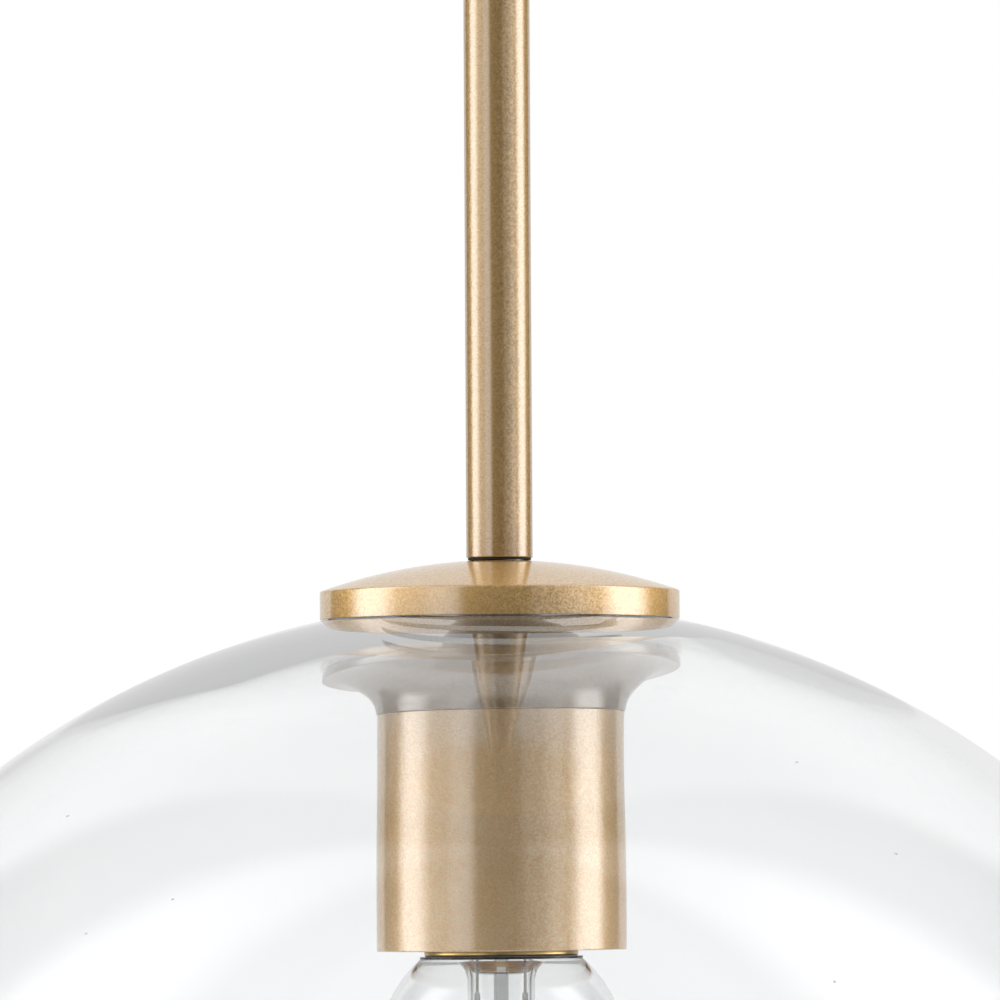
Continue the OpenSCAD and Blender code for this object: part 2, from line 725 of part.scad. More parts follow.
// The glass stem with its flared foot, pressed end and fine exhaust tube.
module lamp_stem() {
    stem_wall = 0.8;
    foot_r = base_r - 1.4;
    foot_h = 0.8;
    press_t = 3;
    joint_h = 0.5;
    tube_out_r = 1.35;
    tube_in_r = 0.85;
    post_r = 1;
    post_len = filament_len - 3;
    color("lightblue", 0.35) {
        difference() {
            union() {
                translate([0, 0, stem_bottom_z]) cylinder(r = stem_r, h = stem_len + 2);
                translate([0, 0, bulb_neck_z + joint_h + run_gap]) cylinder(r = foot_r, h = foot_h);
            }
            translate([0, 0, stem_bottom_z + cut]) cylinder(r = stem_r - stem_wall, h = 2 * stem_len);
        }
        translate([0, 0, press_bottom_z]) intersection() {
            translate([-stem_r, -press_t / 2, 0]) cube([stem_d, press_t, press_h + joint_h]);
            cylinder(r = stem_r, h = press_h + joint_h);
        }
        translate([0, 0, stem_bottom_z + joint_h]) ring(tube_out_r, tube_in_r, stem_len + 8);
        translate([0, 0, press_bottom_z - post_len]) cylinder(r = post_r, h = post_len + cut);
    }
}

// The lead-in wires through the stem, with the knots where two wires are welded end to end.
module lamp_wires() {
    wire_r = 0.3;
    knot_r = 0.55;
    knot_h = 1.6;
    knot_z = stem_bottom_z + 4.5;
    wire_top_z = bulb_neck_z + 6;
    wire_bottom_z = stem_bottom_z + cut + wire_r;
    color("silver") for (side = [-1, 1]) {
        wire([[side * wire_x, 0, wire_top_z], [side * wire_x, 0, wire_bottom_z]], wire_r);
        translate([side * wire_x, 0, knot_z]) cylinder(r = knot_r, h = knot_h, $fn = 24);
    }
}

// Four slim light filaments splayed round the glass post.
module lamp_filaments() {
    filament_r = 0.7;
    splay = atan((filament_spread_low - filament_spread_top) / filament_len);
    color("khaki") for (turn = [45 : 90 : 315]) rotate([0, 0, turn])
        translate([filament_spread_top, 0, filament_top_z]) rotate([0, 180 - splay, 0])
            cylinder(r = filament_r, h = filament_len / cos(splay));
}

// Twist-on connectors that join the fixture's leads to the supply, lying in the canopy.
module wire_connectors() {
    tip_r = 3;
    rim_r = 4.6;
    tip_t = 3;
    color("orange") for (place = [[-connector_x, connector_y], [connector_x, connector_y], [0, -connector_y]])
        translate([place[0], place[1], connector_z]) difference() {
            cylinder(r1 = tip_r, r2 = rim_r, h = connector_len);
            translate([0, 0, tip_t]) cylinder(r = connector_in_r, h = connector_len);
        }
}

// One lead from the bore of the stud, over the rim of its connector and down into it.
module canopy_lead(start, end) {
    lead_r = 1;
    start_z = stud_nut_z + nut_t - 3;
    rise_z = -strap_t - ground_head_h - 1.5;
    over_z = connector_z + connector_len + 2.8;
    end_z = connector_z + 5;
    wire([[start[0], start[1], start_z], [start[0], start[1], rise_z],
        [0.9 * end[0], 0.75 * end[1], rise_z], [end[0], end[1], over_z], [end[0], end[1], end_z]], lead_r);
}

// The black, white and green leads that hang in the canopy.
module canopy_leads() {
    color("black") canopy_lead([-1.2, 0.7], [-connector_x, connector_y]);
    color("white") canopy_lead([1.2, 0.7], [connector_x, connector_y]);
    color("green") canopy_lead([0, -1.4], [0, -connector_y]);
}

ceiling_strap();
ground_screw();
canopy_screws();
canopy();
ball_nuts();
bush();
bush_nut();
stud_washer();
wire_connectors();
canopy_leads();
swivel_stud();
stud_nut();
knuckle();
knuckle_pin();
rod();
rod_leads();
rod_washer();
cap();
cap_washer();
cap_nut();
threaded_tube();
upper_gasket();
glass_globe();
lower_gasket();
flange();
socket_cup();
cup_washer();
cup_nut();
socket_cap();
socket_body();
socket_shell();
socket_contact();
terminal_screws();
lamp_contact();
lamp_insulator();
lamp_base();
lamp_neck_ring();
lamp_glass();
lamp_stem();
lamp_wires();
lamp_filaments();
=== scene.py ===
import math
import bmesh
import bpy
from mathutils import Matrix, Vector, noise


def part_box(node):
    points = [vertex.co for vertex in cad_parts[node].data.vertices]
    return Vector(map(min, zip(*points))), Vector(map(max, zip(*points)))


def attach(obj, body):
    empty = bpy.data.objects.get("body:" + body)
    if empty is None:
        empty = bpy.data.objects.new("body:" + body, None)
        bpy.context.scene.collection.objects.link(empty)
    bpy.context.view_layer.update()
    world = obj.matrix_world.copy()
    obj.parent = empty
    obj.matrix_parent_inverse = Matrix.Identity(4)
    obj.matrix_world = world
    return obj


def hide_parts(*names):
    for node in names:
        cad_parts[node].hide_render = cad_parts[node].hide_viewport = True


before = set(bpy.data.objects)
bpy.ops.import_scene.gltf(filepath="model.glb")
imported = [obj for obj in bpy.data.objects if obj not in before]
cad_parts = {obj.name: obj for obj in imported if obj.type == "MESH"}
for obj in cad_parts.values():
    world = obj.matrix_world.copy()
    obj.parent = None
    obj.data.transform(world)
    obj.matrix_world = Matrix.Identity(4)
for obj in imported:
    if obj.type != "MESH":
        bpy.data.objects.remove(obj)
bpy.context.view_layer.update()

MM = 0.001


# Studio. The light hangs in front of a white backdrop, between two tall side softboxes, with a dim room
# behind the viewer. The sky carries all of it. It isn't physical: rays that only passed through glass see
# clean white, and those that were reflected see the studio.
def add(tree, kind, settings=None, links=None):
    """Adds a node. settings are its properties or input values, links are input -> output socket."""
    node = tree.nodes.new(kind)
    for key, value in (settings or {}).items():
        if isinstance(key, int) or key in node.inputs:
            node.inputs[key].default_value = value
        else:
            setattr(node, key, value)
    for key, socket in (links or {}).items():
        tree.links.new(socket, node.inputs[key])
    return node


def linear(code):
    """An sRGB hex colour as linear RGBA."""
    parts = [int(code[i:i + 2], 16) / 255 for i in (1, 3, 5)]
    return [c / 12.92 if c <= 0.04045 else ((c + 0.055) / 1.055) ** 2.4 for c in parts] + [1.0]


# Each softbox: the compass bearing of its middle from the viewer's side, half its width, the softness of
# its edges, all in degrees, and its brightness.
SOFTBOXES = [(-91, 15, 9, 2.7), (-62, 14, 6, 0.66), (-37, 11, 6, 1.12), (90, 16, 10, 2.86),
             (60, 16, 12, 0.5), (40, 20, 6, 0.32)]
# The backdrop starts at this bearing on both sides, with a soft edge.
BACKDROP_EDGE = 138
BACKDROP_SOFT = 4
BACKDROP_LEVEL = 0.77
ROOM_LEVEL = 0.08
# Light from the ceiling and the floor, which grows between these two heights over and under the horizon.
FILL_LEVEL = 0.42
FILL_START = 22
FILL_FULL = 48
# Above this height the studio fades towards the zenith.
LIGHT_TOP = 28
ZENITH_LEVEL = 0.08

world = bpy.data.worlds.new("studio")
bpy.context.scene.world = world
world.use_nodes = True
sky = world.node_tree
sky.nodes.clear()
way = add(sky, "ShaderNodeSeparateXYZ", links={0: add(sky, "ShaderNodeTexCoord").outputs["Generated"]})
forward = add(sky, "ShaderNodeMath", {"operation": "MULTIPLY", 1: -1.0}, {0: way.outputs["Y"]})
bearing = add(sky, "ShaderNodeMath", {"operation": "ARCTAN2"}, {0: way.outputs["X"], 1: forward.outputs[0]})
level = add(sky, "ShaderNodeValue")
level.outputs[0].default_value = ROOM_LEVEL
total = level.outputs[0]
for middle, half, edge, brightness in SOFTBOXES:
    off = add(sky, "ShaderNodeMath", {"operation": "SUBTRACT", 1: math.radians(middle)},
              {0: bearing.outputs[0]})
    off = add(sky, "ShaderNodeMath", {"operation": "ABSOLUTE"}, {0: off.outputs[0]})
    lit = add(sky, "ShaderNodeMapRange",
              {"interpolation_type": "SMOOTHSTEP", "From Min": math.radians(half - edge),
               "From Max": math.radians(half + edge), "To Min": brightness, "To Max": 0.0},
              {"Value": off.outputs[0]})
    total = add(sky, "ShaderNodeMath", {"operation": "ADD"}, {0: total, 1: lit.outputs[0]}).outputs[0]
turn = add(sky, "ShaderNodeMath", {"operation": "ABSOLUTE"}, {0: bearing.outputs[0]})
drop = add(sky, "ShaderNodeMapRange",
           {"interpolation_type": "SMOOTHSTEP", "From Min": math.radians(BACKDROP_EDGE - BACKDROP_SOFT),
            "From Max": math.radians(BACKDROP_EDGE + BACKDROP_SOFT), "To Min": 0.0,
            "To Max": BACKDROP_LEVEL},
           {"Value": turn.outputs[0]})
total = add(sky, "ShaderNodeMath", {"operation": "ADD"}, {0: total, 1: drop.outputs[0]}).outputs[0]
height = add(sky, "ShaderNodeMath", {"operation": "ARCSINE"}, {0: way.outputs["Z"]})
steep = add(sky, "ShaderNodeMath", {"operation": "ABSOLUTE"}, {0: height.outputs[0]})
fill = add(sky, "ShaderNodeMapRange",
           {"interpolation_type": "SMOOTHSTEP", "From Min": math.radians(FILL_START),
            "From Max": math.radians(FILL_FULL), "To Min": 0.0, "To Max": FILL_LEVEL},
           {"Value": steep.outputs[0]})
total = add(sky, "ShaderNodeMath", {"operation": "ADD"}, {0: total, 1: fill.outputs[0]}).outputs[0]
fade = add(sky, "ShaderNodeMapRange", {"From Min": math.radians(LIGHT_TOP), "From Max": math.radians(90),
           "To Min": 1.0, "To Max": ZENITH_LEVEL}, {"Value": height.outputs[0]})
studio_level = add(sky, "ShaderNodeMath", {"operation": "MULTIPLY"}, {0: total, 1: fade.outputs[0]})
path = add(sky, "ShaderNodeLightPath")
bounced = add(sky, "ShaderNodeMath", {"operation": "ADD"},
              {0: path.outputs["Glossy Depth"], 1: path.outputs["Diffuse Depth"]})
is_bounced = add(sky, "ShaderNodeMath", {"operation": "GREATER_THAN", 1: 0.5}, {0: bounced.outputs[0]})
strength = add(sky, "ShaderNodeMix", {"data_type": "FLOAT", "A": 1.0},
               {"Factor": is_bounced.outputs[0], "B": studio_level.outputs[0]})
shine = add(sky, "ShaderNodeBackground", {"Color": linear("#ffffff")},
            {"Strength": strength.outputs["Result"]})
add(sky, "ShaderNodeOutputWorld", links={"Surface": shine.outputs[0]})

scene = bpy.context.scene
scene.view_settings.view_transform = "Standard"
scene.cycles.max_bounces = 32
scene.cycles.transmission_bounces = 32
scene.cycles.glossy_bounces = 12


# The floor far below the light: plain pale matt board that fades out at its rim.
FLOOR_DROP = 0.35
FLOOR_R = 1.6
FLOOR_SIDES = 96
FADE_START = 0.35 * FLOOR_R
FADE_END = 0.97 * FLOOR_R
globe_low, globe_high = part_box("glass_globe")
floor_mesh = bpy.data.meshes.new("floor")
rim = [Vector((FLOOR_R * math.cos(a), FLOOR_R * math.sin(a), globe_low.z - FLOOR_DROP))
       for a in [2 * math.pi * i / FLOOR_SIDES for i in range(FLOOR_SIDES)]]
floor_mesh.from_pydata(rim, [], [list(range(FLOOR_SIDES))])
floor = bpy.data.objects.new("floor", floor_mesh)
scene.collection.objects.link(floor)
board = bpy.data.materials.new("pale_board")
board.use_nodes = True
tree = board.node_tree
tree.nodes.clear()
where = add(tree, "ShaderNodeTexCoord")
across = add(tree, "ShaderNodeVectorMath", {"operation": "MULTIPLY", 1: (1, 1, 0)},
             {0: where.outputs["Object"]})
reach = add(tree, "ShaderNodeVectorMath", {"operation": "LENGTH"}, {0: across.outputs[0]})
fade = add(tree, "ShaderNodeMapRange",
           {"interpolation_type": "SMOOTHSTEP", "From Min": FADE_START, "From Max": FADE_END},
           {"Value": reach.outputs["Value"]})
face = add(tree, "ShaderNodeNewGeometry")
clear = add(tree, "ShaderNodeMath", {"operation": "MAXIMUM"},
            {0: fade.outputs["Result"], 1: face.outputs["Backfacing"]})
grain = add(tree, "ShaderNodeTexNoise", {"Scale": 0.04 / MM, "Detail": 4.0},
            {"Vector": where.outputs["Object"]})
tone = add(tree, "ShaderNodeMix", {"data_type": "RGBA", 6: linear("#eeeeec"), 7: linear("#f6f6f5")},
           {0: grain.outputs[0]})
matt = add(tree, "ShaderNodeBsdfDiffuse", links={"Color": tone.outputs[2]})
see_through = add(tree, "ShaderNodeBsdfTransparent")
both = add(tree, "ShaderNodeMixShader",
           links={0: clear.outputs[0], 1: matt.outputs[0], 2: see_through.outputs[0]})
add(tree, "ShaderNodeOutputMaterial", links={"Surface": both.outputs[0]})
floor_mesh.materials.append(board)

# The camera stands well back with a long lens, level with the lamp, and looks a little upward.
NECK_HOLE_R = 21 * MM
GLOBE_R = (globe_high.x - globe_low.x) / 2
GLOBE_Z = globe_high.z - math.sqrt(GLOBE_R ** 2 - NECK_HOLE_R ** 2)
GLASS_TOP = GLOBE_Z + GLOBE_R
CAMERA_BACK = 1640 * MM
CAMERA_BELOW_GLASS = 52.06 * MM
LENS = 327.06
PITCH = 2.458
ROLL = -0.32
camera_data = bpy.data.cameras.new("camera")
camera_data.lens = LENS
camera = bpy.data.objects.new("camera", camera_data)
scene.collection.objects.link(camera)
aim = Matrix.Rotation(math.radians(90 + PITCH), 4, "X") @ Matrix.Rotation(math.radians(ROLL), 4, "Z")
camera.matrix_world = Matrix.Translation((0.15 * MM, -CAMERA_BACK, GLASS_TOP - CAMERA_BELOW_GLASS)) @ aim
scene.camera = camera


# Ceiling strap and the nuts, washers and pin inside the light: pressed steel, zinc plated, with the faint
# cloudy crystals that plating leaves, a millimetre wide, and fine rolling scratches along the sheet. Here
# and below, a pattern's scale of n / MM gives it n cells to the millimetre.
def new_material(name):
    material = bpy.data.materials.new(name)
    material.use_nodes = True
    material.node_tree.nodes.clear()
    return material, material.node_tree


def dress(node, material):
    """Gives a CAD node's object its material."""
    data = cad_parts[node].data
    data.materials.clear()
    data.materials.append(material)


zinc, tree = new_material("zinc_plated_steel")
where = add(tree, "ShaderNodeTexCoord")
cloud = add(tree, "ShaderNodeTexVoronoi", {"Scale": 0.9 / MM}, {"Vector": where.outputs["Object"]})
stretch = add(tree, "ShaderNodeMapping", {"Scale": (0.04, 1.0, 1.0)}, {"Vector": where.outputs["Object"]})
rolled = add(tree, "ShaderNodeTexNoise", {"Scale": 5 / MM, "Detail": 3.0}, {"Vector": stretch.outputs[0]})
tone = add(tree, "ShaderNodeMix", {"data_type": "RGBA", 6: linear("#a9adb0"), 7: linear("#d3d6d8")},
           {0: cloud.outputs["Color"]})
rough = add(tree, "ShaderNodeMapRange", {"To Min": 0.22, "To Max": 0.42}, {"Value": rolled.outputs[0]})
bump = add(tree, "ShaderNodeBump", {"Strength": 0.25, "Distance": 0.02 * MM}, {"Height": rolled.outputs[0]})
shader = add(tree, "ShaderNodeBsdfPrincipled", {"Metallic": 1.0},
             {"Base Color": tone.outputs[2], "Roughness": rough.outputs[0], "Normal": bump.outputs[0]})
add(tree, "ShaderNodeOutputMaterial", links={"Surface": shader.outputs[0]})
for node in ("ceiling_strap", "bush_nut", "stud_washer", "stud_nut", "knuckle_pin", "cap_washer", "cap_nut",
             "cup_washer", "cup_nut"):
    dress(node, zinc)

# The earth screw: steel with a green passivated coat, slightly iridescent.
green, tree = new_material("green_passivated_steel")
where = add(tree, "ShaderNodeTexCoord")
cloud = add(tree, "ShaderNodeTexNoise", {"Scale": 0.6 / MM}, {"Vector": where.outputs["Object"]})
tone = add(tree, "ShaderNodeMix", {"data_type": "RGBA", 6: linear("#1c5a2e"), 7: linear("#3d8a4a")},
           {0: cloud.outputs[0]})
shader = add(tree, "ShaderNodeBsdfPrincipled", {"Metallic": 0.8, "Roughness": 0.35},
             {"Base Color": tone.outputs[2]})
add(tree, "ShaderNodeOutputMaterial", links={"Surface": shader.outputs[0]})
dress("ground_screw", green)


# Wires and their connectors: PVC insulation with a soft gloss, and moulded connectors with a fine grain.
def plastic(name, dark, light, roughness, grain_size):
    """A moulded or extruded plastic, its colour and gloss varied a little by a fine grain."""
    material, tree = new_material(name)
    where = add(tree, "ShaderNodeTexCoord")
    grain = add(tree, "ShaderNodeTexNoise", {"Scale": 1 / grain_size, "Detail": 3.0},
                {"Vector": where.outputs["Object"]})
    tone = add(tree, "ShaderNodeMix", {"data_type": "RGBA", 6: linear(dark), 7: linear(light)},
               {0: grain.outputs[0]})
    spread = 0.08
    rough = add(tree, "ShaderNodeMapRange", {"To Min": roughness - spread, "To Max": roughness + spread},
                {"Value": grain.outputs[0]})
    bump = add(tree, "ShaderNodeBump", {"Strength": 0.2, "Distance": 0.02 * MM},
               {"Height": grain.outputs[0]})
    shader = add(tree, "ShaderNodeBsdfPrincipled", None,
                 {"Base Color": tone.outputs[2], "Roughness": rough.outputs[0], "Normal": bump.outputs[0]})
    add(tree, "ShaderNodeOutputMaterial", links={"Surface": shader.outputs[0]})
    return material


orange = plastic("orange_nylon_moulded", "#c85310", "#e0701f", 0.4, 0.6 * MM)
dress("canopy_leads", plastic("grey_pvc_insulation", "#8c8a84", "#a3a19a", 0.35, 0.8 * MM))
dress("rod_leads", plastic("ivory_pvc_insulation", "#d8d2c0", "#e6e0d0", 0.35, 0.8 * MM))
# The rod's fibre washer is drawn near black: a real washer, with the shadow in the hairline gap at the rod's
# foot painted into its colour.
dress("rod_washer", plastic("black_fibre_painted_shadow_line", "#121110", "#1f1d1b", 0.7, 0.3 * MM))
dress("lamp_insulator", plastic("black_glass_insulator", "#0d0c0c", "#1a1818", 0.25, 0.5 * MM))


# Canopy: a dish spun from thin sheet, with a flat face and a rolled shoulder, finished with the satin brass
# lacquer that all the outer metal carries. It hangs on two long screws with ball nuts.
def eased(outline, radius, steps=3):
    """The closed outline with its sharp corners replaced by small bends."""
    points = []
    count = len(outline)
    for i, here in enumerate(outline):
        here = Vector(here)
        back = Vector(outline[i - 1]) - here
        ahead = Vector(outline[(i + 1) % count]) - here
        bend = back.angle(ahead, math.pi)
        on_axis = here.x < 1e-7
        if on_axis or bend > math.radians(150):
            points.append(tuple(here))
            continue
        reach = min(radius, 0.45 * back.length, 0.45 * ahead.length)
        start = here + back.normalized() * reach
        end = here + ahead.normalized() * reach
        for k in range(steps + 1):
            t = k / steps
            points.append(tuple(start * (1 - t) ** 2 + here * 2 * t * (1 - t) + end * t * t))
    return points


def arc(centre, radius, start, end, steps):
    """Points on an arc in the outline's plane, angles in degrees from the r axis towards +Z."""
    angles = [math.radians(start + (end - start) * i / steps) for i in range(steps + 1)]
    return [(centre[0] + radius * math.cos(a), centre[1] + radius * math.sin(a)) for a in angles]


def turned(outline, sides, shift=(0, 0, 0)):
    """A bmesh of the closed outline of (r, z) points turned round the Z axis."""
    work = bmesh.new()
    rings = []
    for r, z in outline:
        if r < 1e-7:
            rings.append([work.verts.new((shift[0], shift[1], z + shift[2]))] * sides)
        else:
            angles = [2 * math.pi * i / sides for i in range(sides)]
            rings.append([work.verts.new((r * math.cos(a) + shift[0], r * math.sin(a) + shift[1],
                                          z + shift[2])) for a in angles])
    for low, high in zip(rings, rings[1:] + rings[:1]):
        for i in range(sides):
            k = (i + 1) % sides
            corners = []
            for v in (low[i], low[k], high[k], high[i]):
                if v not in corners:
                    corners.append(v)
            if len(corners) > 2:
                work.faces.new(corners)
    bmesh.ops.recalc_face_normals(work, faces=work.faces)
    return work


def finish_piece(name, work, material, body, nodes, sharp=38):
    """Turns bmeshes into one smooth object that rides on a body and stands for its CAD nodes."""
    mesh = bpy.data.meshes.new(name)
    works = work if isinstance(work, list) else [work]
    whole = bmesh.new()
    for part in works:
        piece = bpy.data.meshes.new("part")
        part.to_mesh(piece)
        part.free()
        whole.from_mesh(piece)
        bpy.data.meshes.remove(piece)
    whole.to_mesh(mesh)
    whole.free()
    mesh.shade_smooth()
    mesh.set_sharp_from_angle(angle=math.radians(sharp))
    mesh.materials.append(material)
    piece = bpy.data.objects.new(name, mesh)
    scene.collection.objects.link(piece)
    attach(piece, body)
    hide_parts(*nodes)
    return piece


# Satin brass lacquer: metallic flake in a clear coat over sprayed brass. Each flake is about 0.3 mm here,
# coarser than the real pigment so that it shows, and lies at its own small tilt, which gives the sparkle.
# The coat's IOR is set above a real lacquer's 1.5, for a stronger sheen.
FLAKE = 0.28 * MM
FLAKE_TILT = 0.16


def satin_lacquer(name, dark, light):
    """The flake lacquer between two tones, with a wide soft sheen under a sharper clear coat."""
    material, tree = new_material(name)
    where = add(tree, "ShaderNodeTexCoord")
    flake = add(tree, "ShaderNodeTexVoronoi", {"Scale": 1 / FLAKE}, {"Vector": where.outputs["Object"]})
    drift = add(tree, "ShaderNodeTexNoise", {"Scale": 1 / (14 * MM), "Detail": 3.0},
                {"Vector": where.outputs["Object"]})
    pick = add(tree, "ShaderNodeSeparateColor", links={0: flake.outputs["Color"]})
    tone = add(tree, "ShaderNodeMix", {"data_type": "RGBA", 6: linear(dark), 7: linear(light)},
               {0: pick.outputs[0]})
    cloud = add(tree, "ShaderNodeMapRange", {"To Min": 0.0, "To Max": 0.12}, {"Value": drift.outputs[0]})
    tone = add(tree, "ShaderNodeMix", {"data_type": "RGBA", 7: linear("#8d6f42")},
               {0: cloud.outputs[0], 6: tone.outputs[2]})
    rough = add(tree, "ShaderNodeMapRange", {"To Min": 0.5, "To Max": 0.66}, {"Value": pick.outputs[1]})
    face = add(tree, "ShaderNodeNewGeometry")
    lean = add(tree, "ShaderNodeVectorMath", {"operation": "SUBTRACT", 1: (0.5, 0.5, 0.5)},
               {0: flake.outputs["Color"]})
    lean = add(tree, "ShaderNodeVectorMath", {"operation": "SCALE", "Scale": FLAKE_TILT},
               {0: lean.outputs[0]})
    tilted = add(tree, "ShaderNodeVectorMath", {"operation": "ADD"},
                 {0: face.outputs["Normal"], 1: lean.outputs[0]})
    tilted = add(tree, "ShaderNodeVectorMath", {"operation": "NORMALIZE"}, {0: tilted.outputs[0]})
    skin = add(tree, "ShaderNodeBump", {"Strength": 0.15, "Distance": 0.05 * MM},
               {"Height": drift.outputs[0]})
    shader = add(tree, "ShaderNodeBsdfPrincipled",
                 {"Metallic": 1.0, "Coat Weight": 1.0, "Coat Roughness": 0.11, "Coat IOR": 2.5},
                 {"Base Color": tone.outputs[2], "Roughness": rough.outputs[0],
                  "Normal": tilted.outputs[0], "Coat Normal": skin.outputs[0]})
    add(tree, "ShaderNodeOutputMaterial", links={"Surface": shader.outputs[0]})
    return material


lacquer = satin_lacquer("satin_brass_lacquer", "#aa884e", "#d1ae75")

canopy_low, canopy_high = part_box("canopy")
CANOPY_WALL = 1.2 * MM
CANOPY_ROUND = 6 * MM
canopy_r = canopy_high.x
neck_r = 7.55 * MM
face_z = canopy_low.z
shoulder = (canopy_r - CANOPY_ROUND, face_z + CANOPY_ROUND)
outline = [(neck_r, face_z)] + arc(shoulder, CANOPY_ROUND, -90, 0, 12) + [(canopy_r, 0.0),
           (canopy_r - CANOPY_WALL, 0.0)]
outline += arc(shoulder, CANOPY_ROUND - CANOPY_WALL, 0, -90, 12) + [(neck_r, face_z + CANOPY_WALL)]
canopy = turned(eased(outline, 0.4 * MM), 192)
nut_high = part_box("ball_nuts")[1]
BALL_R = 4.5 * MM
SCREW_HOLE_R = 2.3 * MM


def moved(work, angle=0.0, axis="X", shift=(0, 0, 0)):
    """The bmesh turned by an angle in degrees about an axis, then shifted."""
    matrix = Matrix.Translation(shift) @ Matrix.Rotation(math.radians(angle), 4, axis)
    bmesh.ops.transform(work, matrix=matrix, verts=work.verts)
    return work


def block(low, high):
    """A box between two corners."""
    work = bmesh.new()
    bmesh.ops.create_cube(work, size=1.0)
    low, high = Vector(low), Vector(high)
    for v in work.verts:
        v.co = Vector([(low[i] + high[i]) / 2 + v.co[i] * (high[i] - low[i]) for i in range(3)])
    return work


def post(radius, low, high, sides=48):
    """A closed upright cylinder on the Z axis."""
    return turned([(0.0, low), (radius, low), (radius, high), (0.0, high)], sides)


def as_object(work):
    """A throwaway object of a bmesh, for the modifiers."""
    mesh = bpy.data.meshes.new("draft")
    work.to_mesh(mesh)
    work.free()
    draft = bpy.data.objects.new("draft", mesh)
    scene.collection.objects.link(draft)
    return draft


def baked(draft, helpers=()):
    """The bmesh of a throwaway object with its modifiers applied."""
    result = bpy.data.meshes.new_from_object(draft.evaluated_get(bpy.context.evaluated_depsgraph_get()))
    work = bmesh.new()
    work.from_mesh(result)
    bpy.data.meshes.remove(result)
    for spent in (draft, *helpers):
        mesh = spent.data
        bpy.data.objects.remove(spent)
        if mesh:
            bpy.data.meshes.remove(mesh)
    return work


def carved(work, tools, operation="DIFFERENCE"):
    """The bmesh after an exact boolean with each tool bmesh."""
    for tool in tools:
        body, cutter = as_object(work), as_object(tool)
        cut = body.modifiers.new("cut", "BOOLEAN")
        cut.object = cutter
        cut.operation = operation
        cut.solver = "EXACT"
        work = baked(body, [cutter])
    return work


screw_x = nut_high.x - BALL_R
holes = [moved(post(SCREW_HOLE_R, -3 * MM, 3 * MM), shift=(side * screw_x, 0, face_z)) for side in (-1, 1)]
finish_piece("canopy_dish", carved(canopy, holes), lacquer, "ceiling_plate", ["canopy"])

# Ball nuts: turned brass, lacquered, one under each canopy screw.
COLLAR_T = 1.5 * MM
NUT_COLLAR_R = 0.8 * BALL_R
BALL_DROP = 0.75
nuts = []
for side in (-1, 1):
    x = side * screw_x
    ball_z = nut_high.z - COLLAR_T - BALL_DROP * BALL_R
    meet = math.degrees(math.asin(BALL_DROP))
    outline = [(0.0, nut_high.z), (NUT_COLLAR_R, nut_high.z), (NUT_COLLAR_R, nut_high.z - COLLAR_T)]
    outline += arc((0, ball_z), BALL_R, meet - 8, -90, 20)
    outline[-1] = (0.0, ball_z - BALL_R)
    nuts.append(turned(eased(outline, 0.3 * MM), 48, (x, 0, 0)))
finish_piece("canopy_ball_nuts", nuts, lacquer, "ceiling_plate", ["ball_nuts"])

# Collar bush: the turned brass sleeve that the swivel turns in, with a shadow groove under the canopy.
bush_low, bush_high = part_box("bush")
BUSH_BORE_R = 5.05 * MM
bush_r = bush_high.x
BUSH_CHAMFER = 1.2 * MM
GROOVE = 0.5 * MM
BUSH_PLAY = 0.05 * MM
# Faces that meet stay this far apart, so that no two lie in one plane.
HAIRLINE = 0.02 * MM
outline = [(BUSH_BORE_R, bush_high.z), (BUSH_BORE_R, bush_low.z), (bush_r - BUSH_CHAMFER, bush_low.z),
           (bush_r, bush_low.z + BUSH_CHAMFER), (bush_r, face_z - 2.2 * MM),
           (bush_r - GROOVE, face_z - 2.0 * MM), (bush_r - GROOVE, face_z - 1.5 * MM),
           (bush_r, face_z - 1.3 * MM), (bush_r, face_z - HAIRLINE),
           (neck_r - BUSH_PLAY, face_z - HAIRLINE), (neck_r - BUSH_PLAY, bush_high.z)]
finish_piece("collar_bush", turned(eased(outline, 0.3 * MM), 96), lacquer, "ceiling_plate", ["bush"])

# Swivel stud: a hollow threaded stud with a shoulder and a rounded tongue, turned and milled from one
# brass bar.
stud_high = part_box("swivel_stud")[1]
rod_low, rod_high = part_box("rod")
pin_low, pin_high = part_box("knuckle_pin")
pivot_z = (pin_low.z + pin_high.z) / 2
STUD_R = 5 * MM
STUD_BORE_R = 3 * MM
SHOULDER_T = 4 * MM
SHOULDER_R = 8 * MM
TONGUE_T = 5 * MM
TONGUE_R = 5.5 * MM
PIN_R = 1.5 * MM
THREAD = 0.3 * MM
shoulder_z = bush_low.z - 0.3 * MM - SHOULDER_T
outline = [(0.0, shoulder_z), (SHOULDER_R, shoulder_z), (SHOULDER_R, shoulder_z + SHOULDER_T),
           (STUD_R, shoulder_z + SHOULDER_T), (STUD_R, bush_high.z),
           (STUD_R - THREAD, bush_high.z + THREAD), (STUD_R - THREAD, stud_high.z),
           (STUD_BORE_R, stud_high.z), (STUD_BORE_R, shoulder_z + 1 * MM),
           (0.0, shoulder_z + 1 * MM)]
stud = turned(eased(outline, 0.4 * MM), 96)
tongue = bmesh.new()
edge = [(-TONGUE_T / 2, TONGUE_R, shoulder_z + 0.5 * MM)]
edge += [(-TONGUE_T / 2, y, pivot_z + z) for y, z in arc((0, 0), TONGUE_R, 0, -180, 32)]
edge += [(-TONGUE_T / 2, -TONGUE_R, shoulder_z + 0.5 * MM)]
side = tongue.faces.new([tongue.verts.new(p) for p in edge])
grown = bmesh.ops.extrude_face_region(tongue, geom=[side])
far_side = [v for v in grown["geom"] if isinstance(v, bmesh.types.BMVert)]
bmesh.ops.translate(tongue, vec=(TONGUE_T, 0, 0), verts=far_side)
bmesh.ops.recalc_face_normals(tongue, faces=tongue.faces)
corners = [e for e in tongue.edges if e.calc_face_angle(0) > 1.2]
bmesh.ops.bevel(tongue, geom=corners, offset=0.35 * MM, segments=2, affect="EDGES")
